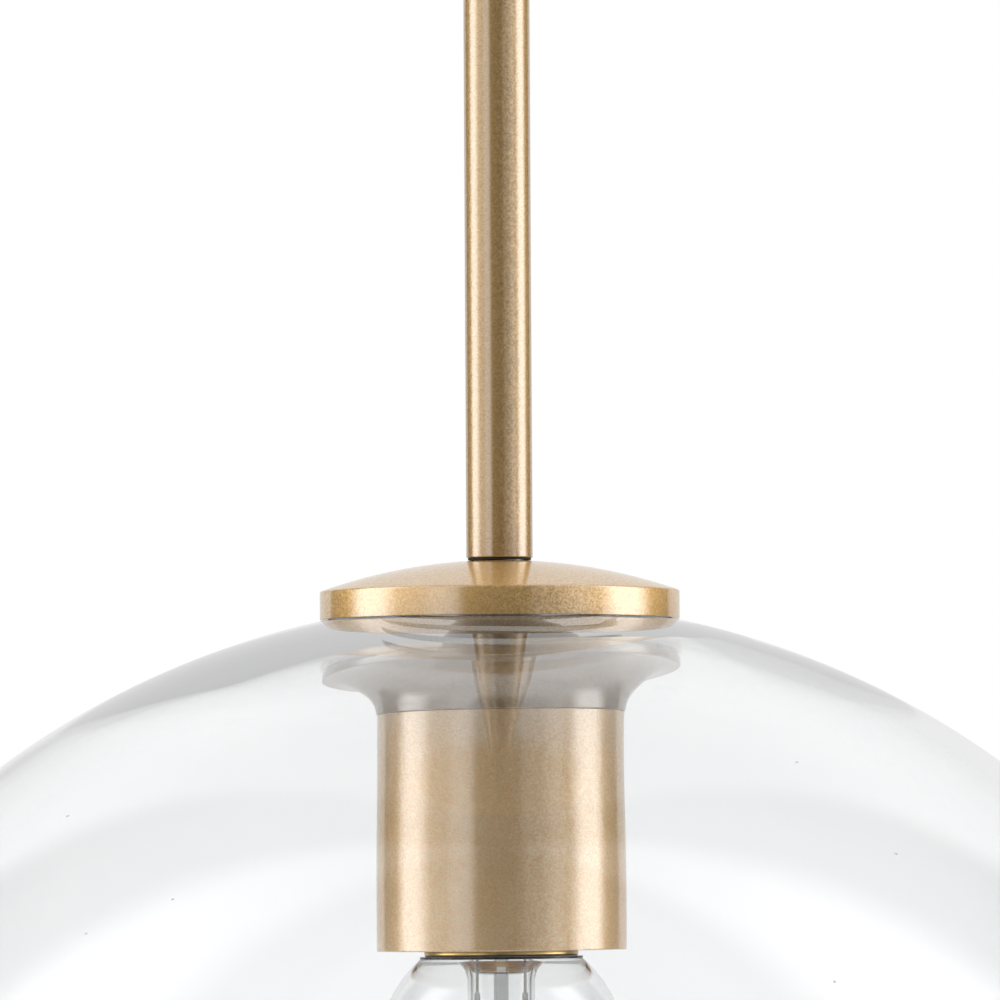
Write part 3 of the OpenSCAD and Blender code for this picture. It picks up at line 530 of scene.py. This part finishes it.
PIN_PLAY = 0.05 * MM
PAST_BALL = 12 * MM
pin_hole = moved(post(PIN_R + PIN_PLAY, -PAST_BALL, PAST_BALL), 90, "Y", (0, 0, pivot_z))
stud = carved(carved(stud, [tongue], "UNION"), [pin_hole])


# Rolled threads: one ridge that winds up its piece and fades out at both ends, made by one node tree.
def node_tree(name, sizes):
    """A geometry node tree with a named input for each size, and the node that gives their values."""
    tree = bpy.data.node_groups.new(name, "GeometryNodeTree")
    tree.interface.new_socket(name="Geometry", in_out="OUTPUT", socket_type="NodeSocketGeometry")
    for label, kind in sizes.items():
        tree.interface.new_socket(name=label, in_out="INPUT", socket_type="NodeSocket" + kind)
    return tree, tree.nodes.new("NodeGroupInput")


def grown_from(tree, sizes):
    """The bmesh that a node tree makes with these sizes."""
    draft = as_object(bmesh.new())
    nodes = draft.modifiers.new("grow", "NODES")
    nodes.node_group = tree
    for item in tree.interface.items_tree:
        if item.in_out == "INPUT" and item.name in sizes:
            nodes[item.identifier] = sizes[item.name]
    return baked(draft)


thread_tree, sizes = node_tree("rolled_thread", {"Radius": "Float", "Pitch": "Float", "Turns": "Float",
                               "Ridge": "Float", "Start": "Vector", "Material": "Material"})
climb = add(thread_tree, "ShaderNodeMath", {"operation": "MULTIPLY"}, {0: sizes.outputs["Pitch"],
            1: sizes.outputs["Turns"]})
helix = add(thread_tree, "GeometryNodeCurveSpiral", {"Resolution": 64},
            {"Rotations": sizes.outputs["Turns"], "Start Radius": sizes.outputs["Radius"],
             "End Radius": sizes.outputs["Radius"], "Height": climb.outputs[0]})
place = add(thread_tree, "GeometryNodeSplineParameter")
near_end = add(thread_tree, "ShaderNodeMath", {"operation": "PINGPONG", 1: 0.5},
               {0: place.outputs["Factor"]})
along = add(thread_tree, "ShaderNodeMath", {"operation": "MULTIPLY"}, {0: near_end.outputs[0],
            1: sizes.outputs["Turns"]})
swell = add(thread_tree, "ShaderNodeMapRange", {"From Max": 0.5, "To Min": 0.15, "To Max": 1.0},
            {"Value": along.outputs[0]})
drawn = add(thread_tree, "GeometryNodeSetCurveRadius", None,
            {"Curve": helix.outputs[0], "Radius": swell.outputs[0]})
ridge = add(thread_tree, "GeometryNodeCurvePrimitiveCircle", {"Resolution": 16},
            {"Radius": sizes.outputs["Ridge"]})
swept = add(thread_tree, "GeometryNodeCurveToMesh", {"Fill Caps": True}, {"Curve": drawn.outputs[0],
            "Profile Curve": ridge.outputs[0]})
lifted = add(thread_tree, "GeometryNodeTransform", None, {"Geometry": swept.outputs[0],
             "Translation": sizes.outputs["Start"]})
real = add(thread_tree, "GeometryNodeRealizeInstances", None, {"Geometry": lifted.outputs[0]})
coated = add(thread_tree, "GeometryNodeSetMaterial", None, {"Geometry": real.outputs[0],
             "Material": sizes.outputs["Material"]})
add(thread_tree, "NodeGroupOutput", links={"Geometry": coated.outputs[0]})


def thread(outer, pitch, low, high, ridge, material, x=0.0):
    """A rolled thread between two heights, its crests at the outer radius."""
    return grown_from(thread_tree, {"Radius": outer - ridge, "Pitch": pitch, "Turns": (high - low) / pitch,
                      "Ridge": ridge, "Start": (x, 0, low), "Material": material})


stud_thread = thread(STUD_R, 1 * MM, bush_high.z + 0.8 * MM, stud_high.z - 0.6 * MM, THREAD, lacquer)
finish_piece("swivel_tongue_stud", [stud, stud_thread], lacquer, "swivel", ["swivel_stud"])

# Twist-on connectors: moulded nylon cups with ribs for the fingers, one on each pair of leads.
rib_tree, sizes = node_tree("grip_ribs", {"Count": "Int", "Radius": "Float", "Width": "Float",
                            "Length": "Float", "Start": "Vector", "Material": "Material"})
ring = add(rib_tree, "GeometryNodeMeshCircle", None, {"Vertices": sizes.outputs["Count"],
           "Radius": sizes.outputs["Radius"]})
bar_size = add(rib_tree, "ShaderNodeCombineXYZ", None,
               {"X": sizes.outputs["Width"], "Y": sizes.outputs["Width"], "Z": sizes.outputs["Length"]})
bar = add(rib_tree, "GeometryNodeMeshCube", None, {"Size": bar_size.outputs[0]})
spot = add(rib_tree, "GeometryNodeInputPosition")
facing = add(rib_tree, "FunctionNodeAlignRotationToVector", {"axis": "X"}, {"Vector": spot.outputs[0]})
bars = add(rib_tree, "GeometryNodeInstanceOnPoints", None,
           {"Points": ring.outputs[0], "Instance": bar.outputs[0], "Rotation": facing.outputs[0]})
lifted = add(rib_tree, "GeometryNodeTransform", None, {"Geometry": bars.outputs[0],
             "Translation": sizes.outputs["Start"]})
real = add(rib_tree, "GeometryNodeRealizeInstances", None, {"Geometry": lifted.outputs[0]})
coated = add(rib_tree, "GeometryNodeSetMaterial", None, {"Geometry": real.outputs[0],
             "Material": sizes.outputs["Material"]})
add(rib_tree, "NodeGroupOutput", links={"Geometry": coated.outputs[0]})
cone_low, cone_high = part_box("wire_connectors")
RIM_R = 4.6 * MM
TIP = 3 * MM
CONE_BORE_R = 2.6 * MM
CONE_TOP_R = 3.6 * MM
RIM_H = 2.4 * MM
CONE_END = 3 * MM
RIBS = 12
RIB_PLACE_R = 3.45 * MM
RIB_W = 0.75 * MM
RIB_L = 8 * MM
RIB_MIDDLE = 5.6 * MM
cone_x = cone_high.x - RIM_R
cone_y = cone_high.y - RIM_R
cones = []
for x, y in ((-cone_x, cone_y), (cone_x, cone_y), (0.0, cone_low.y + RIM_R)):
    outline = [(0.0, cone_low.z), (TIP, cone_low.z), (CONE_TOP_R, cone_high.z - CONE_END),
               (RIM_R, cone_high.z - RIM_H), (RIM_R, cone_high.z), (CONE_BORE_R, cone_high.z),
               (CONE_BORE_R, cone_low.z + CONE_END), (0.0, cone_low.z + CONE_END)]
    cones.append(turned(eased(outline, 0.5 * MM), 64, (x, y, 0)))
    cones.append(grown_from(rib_tree, {"Count": RIBS, "Radius": RIB_PLACE_R, "Width": RIB_W,
                            "Length": RIB_L, "Start": (x, y, cone_low.z + RIB_MIDDLE), "Material": orange}))
finish_piece("twist_on_connectors", cones, orange, "ceiling_plate", ["wire_connectors"])

# The zinc-plated screws that carry the canopy, and the threaded tube that clamps the glass.
screw_low, screw_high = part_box("canopy_screws")
SCREW_R = 2 * MM
LOCK_NUT_R = 3.6 * MM
LOCK_NUT_T = 3 * MM
SCREW_PITCH = 0.7 * MM
SCREW_RIDGE = 0.25 * MM
THREAD_END = 0.4 * MM
strap_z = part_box("ceiling_strap")[0].z
nut_z = strap_z - LOCK_NUT_T
core = SCREW_R - THREAD
screws = []
for side in (-1, 1):
    x = side * screw_x
    outline = [(0.0, screw_low.z), (core, screw_low.z), (core, nut_z), (LOCK_NUT_R, nut_z),
               (LOCK_NUT_R, strap_z - HAIRLINE), (SCREW_R, strap_z - HAIRLINE),
               (SCREW_R, screw_high.z), (0.0, screw_high.z)]
    screws.append(turned(eased(outline, 0.3 * MM), 48, (x, 0, 0)))
    screws.append(thread(SCREW_R, SCREW_PITCH, screw_low.z + THREAD_END, nut_z - THREAD_END, SCREW_RIDGE,
                         zinc, x))
finish_piece("canopy_machine_screws", screws, zinc, "ceiling_plate", ["canopy_screws"])
tube_low, tube_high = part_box("threaded_tube")
TUBE_R = 4.95 * MM
TUBE_BORE_R = 3.5 * MM
outline = [(TUBE_BORE_R, tube_low.z), (TUBE_R - THREAD, tube_low.z), (TUBE_R - THREAD, tube_high.z),
           (TUBE_BORE_R, tube_high.z)]
tube = [turned(eased(outline, 0.3 * MM), 64)]
tube.append(thread(TUBE_R, 1 * MM, tube_low.z + 0.5 * MM, tube_high.z - 0.5 * MM, THREAD, zinc))
finish_piece("threaded_nipple", tube, zinc, "pendant", ["threaded_tube"])

# Knuckle: a turned brass ball, slotted for the stud's tongue and cross-drilled for the pin, with a spigot
# below that fits into the rod.
knuckle_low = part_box("knuckle")[0]
BALL = 9 * MM
SLOT = 5.6 * MM
FORK_BORE_R = 2.6 * MM
SPIGOT_R = 4.0 * MM
ROD_R = 6 * MM
slot_floor = pivot_z - TONGUE_R - 0.8 * MM
meet = math.degrees(math.acos(ROD_R / BALL))
outline = [(0.0, pivot_z + BALL)] + arc((0, pivot_z), BALL, 89, -meet, 48)
outline += [(ROD_R, rod_high.z), (SPIGOT_R, rod_high.z), (SPIGOT_R, knuckle_low.z),
            (FORK_BORE_R, knuckle_low.z), (FORK_BORE_R, slot_floor + 2 * MM), (0.0, slot_floor + 2 * MM)]
knuckle = turned(eased(outline, 0.2 * MM), 96)
slot = block((-SLOT / 2, -PAST_BALL, slot_floor), (SLOT / 2, PAST_BALL, pivot_z + PAST_BALL))
pin_hole = moved(post(PIN_R + HAIRLINE, -PAST_BALL, PAST_BALL), 90, "Y", (0, 0, pivot_z))
knuckle = carved(knuckle, [slot, pin_hole])
finish_piece("slotted_knuckle", knuckle, lacquer, "pendant", ["knuckle"])

# The rod: a drawn tube, its ends faced square with a small break, so that a hairline gap shows at the cap.
rod_r = rod_high.x
ROD_BORE_R = 4.05 * MM
outline = [(ROD_BORE_R, rod_low.z), (rod_r, rod_low.z), (rod_r, rod_high.z), (ROD_BORE_R, rod_high.z)]
finish_piece("rod_tube", turned(eased(outline, 0.25 * MM), 128), lacquer, "pendant", ["rod"])

# Domed cap: spun dish with a crisp upright band, lowered onto the glass on a hidden gasket. Its lacquer is
# the rod's, drawn lighter: painted light, for the stronger light that the band and dome catch.
cap_low, cap_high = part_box("cap")
CAP_WALL = 1.4 * MM
BAND_H = 5.2 * MM
DOME_H = 5.6 * MM
TUBE_HOLE_R = 5.0 * MM
cap_r = cap_high.x
band_z = cap_low.z
band_top = band_z + BAND_H
dome_r = (cap_r ** 2 + DOME_H ** 2) / (2 * DOME_H)
dome_z = band_top + DOME_H - dome_r
rise = math.degrees(math.asin((band_top - dome_z) / dome_r))
hole = math.degrees(math.acos(TUBE_HOLE_R / dome_r))
outline = arc((0, dome_z), dome_r, hole, rise, 40)
outline += [(cap_r, band_z), (cap_r - CAP_WALL, band_z + 0.3 * MM)]
inner = dome_r - CAP_WALL
rise_in = math.degrees(math.acos((cap_r - CAP_WALL) / inner))
hole_in = math.degrees(math.acos(TUBE_HOLE_R / inner))
outline += arc((0, dome_z), inner, rise_in, hole_in, 24)
# The rod's lacquer in lighter tones: painted light on the band and dome.
cap_lacquer = satin_lacquer("satin_brass_lacquer_cap_painted_light", "#cba55f", "#f6cc8a")
finish_piece("domed_cap", turned(eased(outline, 0.3 * MM), 256), cap_lacquer, "pendant", ["cap"])

# Gaskets: clear moulded silicone.
silicone, tree = new_material("clear_silicone")
where = add(tree, "ShaderNodeTexCoord")
haze = add(tree, "ShaderNodeTexNoise", {"Scale": 0.9 / MM, "Detail": 3.0},
           {"Vector": where.outputs["Object"]})
rough = add(tree, "ShaderNodeMapRange", {"To Min": 0.2, "To Max": 0.4}, {"Value": haze.outputs[0]})
shader = add(tree, "ShaderNodeBsdfPrincipled", {"Base Color": linear("#eef1f0"), "Transmission Weight": 1.0,
             "IOR": 1.41}, {"Roughness": rough.outputs[0]})
add(tree, "ShaderNodeOutputMaterial", links={"Surface": shader.outputs[0]})
dress("upper_gasket", silicone)
dress("lower_gasket", silicone)

# The globe: clear soda-lime glass, blown, so the wall thickens towards the neck and the skin swims a
# little. The neck hole is drilled and the open mouth is cut and polished.
WALL = 3.0 * MM
NECK_T = 4.4 * MM
NECK_R = 73.5 * MM
# The neck's curve runs into the wall over this much of the thickness.
BLEND = 0.3 * MM
inner_r = GLOBE_R - WALL
neck_drop = GLOBE_R - NECK_T - math.sqrt(inner_r ** 2 - NECK_R ** 2)
neck_curve = (NECK_R ** 2 + neck_drop ** 2) / (2 * neck_drop)
neck_z = GLOBE_Z + GLOBE_R - NECK_T - neck_curve
top_angle = math.degrees(math.acos(NECK_HOLE_R / GLOBE_R))
low_angle = math.degrees(math.asin((globe_low.z - GLOBE_Z) / GLOBE_R))


def inside(angle):
    """The inner wall's point at an angle from the globe's middle."""
    a = math.radians(angle)
    ray = Vector((math.cos(a), math.sin(a)))
    centre = Vector((0, neck_z - GLOBE_Z))
    along = ray.dot(centre)
    reach = along + math.sqrt(along ** 2 - centre.length_squared + neck_curve ** 2)
    near = min(inner_r, reach)
    blend = max(0.0, 1 - abs(reach - inner_r) / BLEND)
    near -= BLEND * blend ** 2 / 4
    return (ray.x * near, GLOBE_Z + ray.y * near)


STEPS = 200
outline = [(GLOBE_R * math.cos(math.radians(a)), GLOBE_Z + GLOBE_R * math.sin(math.radians(a)))
           for a in [low_angle + (top_angle - low_angle) * i / STEPS for i in range(STEPS + 1)]]
hole_in = math.degrees(math.acos(NECK_HOLE_R / (GLOBE_R - NECK_T)))
low_in = math.degrees(math.asin((globe_low.z - GLOBE_Z) / inner_r))
outline += [inside(hole_in + (low_in - hole_in) * i / STEPS) for i in range(STEPS + 1)]
globe = turned(outline, 240)
# The wall is uneven, as in all blown glass: it thins early on one side of the neck, and its inner skin
# swims. The seat round the neck hole and the rim of the mouth are left even.
SEAT_R = 34 * MM
SEAT_FADE = 9 * MM
MOUTH_RIM_H = 4 * MM
RIM_FADE = 20 * MM
THIN_SIDE = 0.6
SWIM = 0.11 * MM
SWIM_SIZE = 42 * MM
for v in globe.verts:
    away = (v.co - Vector((0, 0, GLOBE_Z)))
    depth = GLOBE_R - away.length
    across = math.hypot(v.co.x, v.co.y)
    if depth < 0.5 * WALL or v.co.z < globe_low.z + MOUTH_RIM_H:
        continue
    clear_of_seat = min(1.0, max(0.0, (across - SEAT_R) / SEAT_FADE))
    side = max(0.0, v.co.x / max(across, 1 * MM))
    shift = THIN_SIDE * max(0.0, depth - WALL) * clear_of_seat * min(1.0, 1.4 * side) if away.z > 0 else 0.0
    fade = clear_of_seat * min(1.0, (v.co.z - globe_low.z - MOUTH_RIM_H) / RIM_FADE)
    swim = noise.noise(v.co / SWIM_SIZE + Vector((3.1, 7.7, 1.9))) * SWIM * fade
    v.co += away.normalized() * (shift + swim)


# Light trapped between the two skins is cut off after this many surfaces and given one even level, which
# stands in for what would leak out all round. It isn't physical. Every surface that a ray crosses counts,
# so a straight ray through the lamp's stem is cut off as well, and the stem's middle comes out greyer.
TRAPPED_AFTER = 11
TRAPPED_LEVEL = 0.45


def clear_glass(name, dark, light, cloud_size):
    """Clear glass whose faint tint drifts with the thickness of the gather."""
    material, tree = new_material(name)
    where = add(tree, "ShaderNodeTexCoord")
    cloud = add(tree, "ShaderNodeTexNoise", {"Scale": 1 / cloud_size, "Detail": 2.0},
                {"Vector": where.outputs["Object"]})
    tone = add(tree, "ShaderNodeMix", {"data_type": "RGBA", 6: linear(dark), 7: linear(light)},
               {0: cloud.outputs[0]})
    shader = add(tree, "ShaderNodeBsdfPrincipled",
                 {"Roughness": 0.0, "IOR": 1.5, "Transmission Weight": 1.0}, {"Base Color": tone.outputs[2]})
    path = add(tree, "ShaderNodeLightPath")
    trapped = add(tree, "ShaderNodeMath", {"operation": "GREATER_THAN", 1: TRAPPED_AFTER},
                  {0: path.outputs["Ray Depth"]})
    glow = add(tree, "ShaderNodeEmission", {"Strength": TRAPPED_LEVEL})
    both = add(tree, "ShaderNodeMixShader",
               links={0: trapped.outputs[0], 1: shader.outputs[0], 2: glow.outputs[0]})
    add(tree, "ShaderNodeOutputMaterial", links={"Surface": both.outputs[0]})
    return material


glass = clear_glass("blown_soda_lime_glass", "#fbfcfd", "#ffffff", 35 * MM)
finish_piece("blown_globe", globe, glass, "pendant", ["glass_globe"], 60)

# Seeds: tiny gas bubbles left in the wall, drawn out sideways by the blowing.
seed_tree, sizes = node_tree("glass_seeds", {"Radius": "Float", "Density": "Float", "Size": "Float",
                             "Centre": "Vector", "Lowest": "Float", "Highest": "Float",
                             "Material": "Material"})
shell = add(seed_tree, "GeometryNodeMeshUVSphere", {"Segments": 64, "Rings": 48},
            {"Radius": sizes.outputs["Radius"]})
spots = add(seed_tree, "GeometryNodeDistributePointsOnFaces", {"Seed": 11}, {"Mesh": shell.outputs[0],
            "Density": sizes.outputs["Density"]})
spot = add(seed_tree, "GeometryNodeInputPosition")
height = add(seed_tree, "ShaderNodeSeparateXYZ", None, {0: spot.outputs[0]})
low = add(seed_tree, "FunctionNodeCompare", {"operation": "LESS_THAN"}, {"A": height.outputs["Z"],
          "B": sizes.outputs["Lowest"]})
high = add(seed_tree, "FunctionNodeCompare", {"operation": "GREATER_THAN"}, {"A": height.outputs["Z"],
           "B": sizes.outputs["Highest"]})
out = add(seed_tree, "FunctionNodeBooleanMath", {"operation": "OR"},
          {0: low.outputs[0], 1: high.outputs[0]})
kept = add(seed_tree, "GeometryNodeDeleteGeometry", {"domain": "POINT"},
           {"Geometry": spots.outputs["Points"], "Selection": out.outputs[0]})
bubble = add(seed_tree, "GeometryNodeMeshIcoSphere", {"Subdivisions": 3}, {"Radius": sizes.outputs["Size"]})
spread = add(seed_tree, "FunctionNodeRandomValue",
             {"data_type": "FLOAT", "Min": 0.45, "Max": 1.0, "Seed": 4})
stretch = add(seed_tree, "ShaderNodeCombineXYZ", {"Z": 0.5}, {"X": spread.outputs["Value"],
              "Y": spread.outputs["Value"]})
placed = add(seed_tree, "GeometryNodeInstanceOnPoints", None, {"Points": kept.outputs[0],
             "Instance": bubble.outputs[0], "Scale": stretch.outputs[0]})
shifted = add(seed_tree, "GeometryNodeTransform", None, {"Geometry": placed.outputs[0],
              "Translation": sizes.outputs["Centre"]})
real = add(seed_tree, "GeometryNodeRealizeInstances", None, {"Geometry": shifted.outputs[0]})
coated = add(seed_tree, "GeometryNodeSetMaterial", None, {"Geometry": real.outputs[0],
             "Material": sizes.outputs["Material"]})
add(seed_tree, "NodeGroupOutput", links={"Geometry": coated.outputs[0]})
gas, tree = new_material("gas_in_glass_seed")
where = add(tree, "ShaderNodeTexCoord")
cloud = add(tree, "ShaderNodeTexNoise", {"Scale": 0.8 / MM}, {"Vector": where.outputs["Object"]})
tone = add(tree, "ShaderNodeMix", {"data_type": "RGBA", 6: linear("#eef2f2"), 7: linear("#fbfdfd")},
           {0: cloud.outputs[0]})
shader = add(tree, "ShaderNodeBsdfPrincipled", {"Roughness": 0.0, "IOR": 0.667, "Transmission Weight": 1.0},
             {"Base Color": tone.outputs[2]})
add(tree, "ShaderNodeOutputMaterial", links={"Surface": shader.outputs[0]})
SEEDS_PER_M2 = 160.0
SEED_R = 0.42 * MM
SEED_TOP = 0.93 * GLOBE_R
seeds = grown_from(seed_tree, {"Radius": GLOBE_R - 0.5 * WALL, "Density": SEEDS_PER_M2, "Size": SEED_R,
                   "Centre": (0, 0, GLOBE_Z), "Lowest": globe_low.z - GLOBE_Z + 8 * MM,
                   "Highest": SEED_TOP, "Material": gas})
finish_piece("glass_seeds", seeds, gas, "pendant", ["glass_globe"], 60)

# Trumpet flange and socket cup: spun and turned brass, lacquered. The flange presses the glass up against
# the cap, and the cup hangs under it. Both carry the rod's lacquer, the flange's drawn darker as painted
# shade for the shadow under the cap, and the cup's paler as painted light.
flange_low, flange_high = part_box("flange")
LIP_T = 1.5 * MM
LIP_STEP = 0.9 * MM
PLATE = 3.5 * MM
flange_r = flange_high.x
flare_r = flange_high.z - LIP_T - flange_low.z
foot_r = flange_r - LIP_STEP - flare_r
cup_low, cup_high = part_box("socket_cup")
CUP_R = 22.5 * MM
outline = [(TUBE_HOLE_R, flange_high.z), (flange_r, flange_high.z), (flange_r, flange_high.z - LIP_T),
           (flange_r - LIP_STEP, flange_high.z - LIP_T)]
outline += arc((foot_r + flare_r, flange_low.z), flare_r, 90, 180, 20)[1:]
outline += [(CUP_R - 2.5 * MM, flange_low.z), (CUP_R - 2.5 * MM, flange_high.z - PLATE),
            (TUBE_HOLE_R, flange_high.z - PLATE)]
# The rod's lacquer in darker, greyer tones: painted shade under the cap.
flange_lacquer = satin_lacquer("satin_brass_lacquer_flange_painted_shade", "#8a7049", "#ad9166")
finish_piece("trumpet_flange", turned(eased(outline, 0.25 * MM), 192), flange_lacquer, "pendant",
             ["flange"])
CUP_WALL = 1.0 * MM
outline = [(TUBE_HOLE_R, cup_high.z), (CUP_R, cup_high.z), (CUP_R, cup_low.z),
           (CUP_R - CUP_WALL, cup_low.z), (CUP_R - CUP_WALL, cup_high.z - CUP_WALL),
           (TUBE_HOLE_R, cup_high.z - CUP_WALL)]
# The rod's lacquer in paler tones: painted light on the cup.
cup_lacquer = satin_lacquer("satin_brass_lacquer_cup_painted_light", "#f8c78b", "#ffe6b2")
finish_piece("straight_cup", turned(eased(outline, 0.25 * MM), 192), cup_lacquer, "pendant", ["socket_cup"])

# Socket: a glazed porcelain body and cap round a pressed screw shell, contact and terminals of bright
# brass. The lamp's contact, wires and dark neck ring are dressed here too.
porcelain = plastic("glazed_porcelain", "#d9d4c6", "#efeadd", 0.16, 3 * MM)
for node in ("socket_cap", "socket_body"):
    dress(node, porcelain)
bright, tree = new_material("pressed_bright_brass")
where = add(tree, "ShaderNodeTexCoord")
cloud = add(tree, "ShaderNodeTexNoise", {"Scale": 1.5 / MM, "Detail": 4.0},
            {"Vector": where.outputs["Object"]})
tone = add(tree, "ShaderNodeMix", {"data_type": "RGBA", 6: linear("#e2b364"), 7: linear("#fbdc98")},
           {0: cloud.outputs[0]})
rough = add(tree, "ShaderNodeMapRange", {"To Min": 0.22, "To Max": 0.42}, {"Value": cloud.outputs[0]})
shader = add(tree, "ShaderNodeBsdfPrincipled", {"Metallic": 1.0}, {"Base Color": tone.outputs[2],
             "Roughness": rough.outputs[0]})
add(tree, "ShaderNodeOutputMaterial", links={"Surface": shader.outputs[0]})
for node in ("socket_shell", "socket_contact", "terminal_screws"):
    dress(node, bright)
solder, tree = new_material("tin_solder")
where = add(tree, "ShaderNodeTexCoord")
cloud = add(tree, "ShaderNodeTexNoise", {"Scale": 1.2 / MM}, {"Vector": where.outputs["Object"]})
rough = add(tree, "ShaderNodeMapRange", {"To Min": 0.3, "To Max": 0.55}, {"Value": cloud.outputs[0]})
shader = add(tree, "ShaderNodeBsdfPrincipled", {"Metallic": 1.0, "Base Color": linear("#c4c4c2")},
             {"Roughness": rough.outputs[0]})
add(tree, "ShaderNodeOutputMaterial", links={"Surface": shader.outputs[0]})
dress("lamp_contact", solder)
nickel, tree = new_material("drawn_nickel_wire")
where = add(tree, "ShaderNodeTexCoord")
cloud = add(tree, "ShaderNodeTexNoise", {"Scale": 2.5 / MM}, {"Vector": where.outputs["Object"]})
tone = add(tree, "ShaderNodeMix", {"data_type": "RGBA", 6: linear("#6f6a62"), 7: linear("#a39c90")},
           {0: cloud.outputs[0]})
shader = add(tree, "ShaderNodeBsdfPrincipled", {"Metallic": 1.0, "Roughness": 0.3},
             {"Base Color": tone.outputs[2]})
add(tree, "ShaderNodeOutputMaterial", links={"Surface": shader.outputs[0]})
dress("lamp_wires", nickel)
dress("lamp_neck_ring", plastic("black_glass_insulator_ring", "#14110d", "#2b241a", 0.35, 0.4 * MM))

# Lamp base: a thin brass shell pressed into a round thread, with a turned-out collar at the foot.
base_low, base_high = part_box("lamp_base")
BASE_R = 13 * MM
SHELL_R = 12.4 * MM
SHELL_WALL = 0.5 * MM
COLLAR_R = 13.9 * MM
COLLAR_H = 1.1 * MM
PITCH_E26 = 3.63 * MM
RIDGE_R = 1.1 * MM
collar_top = base_low.z + COLLAR_H
outline = [(SHELL_R - SHELL_WALL, base_low.z), (COLLAR_R, base_low.z), (COLLAR_R, collar_top),
           (SHELL_R, collar_top), (SHELL_R, base_high.z - 1.5 * MM), (SHELL_R - 1.5 * MM, base_high.z),
           (6 * MM, base_high.z), (6 * MM, base_high.z - SHELL_WALL),
           (SHELL_R - 2 * MM, base_high.z - SHELL_WALL), (SHELL_R - SHELL_WALL, base_high.z - 2 * MM)]
base = [turned(eased(outline, 0.4 * MM), 128)]
base.append(thread(BASE_R, PITCH_E26, collar_top + 2 * MM, base_high.z - 2.5 * MM, RIDGE_R, bright))
finish_piece("lamp_screw_base", base, bright, "lamp", ["lamp_base"])

# Lamp bulb: a clear blown ball with a short neck, its wall just under a millimetre.
bulb_low, bulb_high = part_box("lamp_glass")
BULB_R = 22.5 * MM
BULB_WALL = 0.8 * MM
bulb_z = bulb_low.z + BULB_R
rim = math.degrees(math.asin((bulb_high.z - bulb_z) / BULB_R))
rim_in = math.degrees(math.asin((bulb_high.z - bulb_z) / (BULB_R - BULB_WALL)))
outline = arc((0, bulb_z), BULB_R, rim, -90, 80)
outline[-1] = (0.0, bulb_low.z)
outline += [(0.0, bulb_low.z + BULB_WALL)] + arc((0, bulb_z), BULB_R - BULB_WALL, -90, rim_in, 80)[1:]
bulb_glass = clear_glass("clear_lamp_glass", "#fdfefe", "#ffffff", 12 * MM)
finish_piece("lamp_bulb", turned(outline, 160), bulb_glass, "lamp", ["lamp_glass"], 60)

# Lamp stem: a flared glass tube, pinched flat at its end around the wires, with the fine exhaust tube
# inside it and a solid post that carries the filaments.
STEM_R = 6.15 * MM
STEM_WALL = 0.8 * MM
STEM_LEN = 12 * MM
PRESS_H = 6 * MM
PRESS_T = 3 * MM
POST_LEN = 16 * MM
POST_R = 1 * MM
TIP_LEN = STEM_LEN + 8 * MM
FOOT_R = 11.6 * MM
neck_low = bulb_high.z
stem_low = neck_low - STEM_LEN
foot_z = neck_low + 1.3 * MM
outline = [(FOOT_R, foot_z), (FOOT_R, foot_z - 0.75 * MM), (STEM_R + 2.2 * MM, neck_low - 0.2 * MM),
           (STEM_R + 0.5 * MM, neck_low - 1.6 * MM), (STEM_R, neck_low - 3.5 * MM),
           (STEM_R, stem_low + 0.8 * MM), (STEM_R - 1.4 * MM, stem_low),
           (0.0, stem_low), (0.0, stem_low + 1 * MM),
           (STEM_R - STEM_WALL - 1 * MM, stem_low + 1.1 * MM), (STEM_R - STEM_WALL, stem_low + 1.9 * MM),
           (STEM_R - STEM_WALL, neck_low - 3 * MM), (STEM_R + 0.3 * MM - STEM_WALL, neck_low - 1.2 * MM),
           (STEM_R + 2 * MM - STEM_WALL, foot_z)]
stem = [turned(eased(outline, 0.9 * MM), 96)]
TIP_R = 1.35 * MM
TIP_BORE_R = 0.85 * MM
outline = [(TIP_BORE_R, stem_low + 1 * MM), (TIP_R, stem_low + 1 * MM), (TIP_R, stem_low + TIP_LEN),
           (TIP_BORE_R, stem_low + TIP_LEN)]
stem.append(turned(eased(outline, 0.2 * MM), 32))
pinch_r = STEM_R - 0.3 * MM
outline = [(0.0, stem_low - PRESS_H), (pinch_r, stem_low - PRESS_H), (pinch_r, stem_low - HAIRLINE),
           (0.0, stem_low - HAIRLINE)]
pinch = turned(eased(outline, 1.2 * MM), 64)
bmesh.ops.scale(pinch, vec=(1, PRESS_T / (2 * STEM_R), 1), verts=pinch.verts)
stem.append(pinch)
press_low = stem_low - PRESS_H
outline = [(0.0, press_low - POST_LEN), (POST_R, press_low - POST_LEN), (POST_R, press_low - HAIRLINE),
           (0.0, press_low - HAIRLINE)]
stem.append(turned(eased(outline, 0.4 * MM), 32))
finish_piece("lamp_glass_stem", stem, bulb_glass, "lamp", ["lamp_stem"], 60)
dress("lamp_filaments", plastic("phosphor_coat", "#d9a441", "#f0c25e", 0.7, 0.3 * MM))
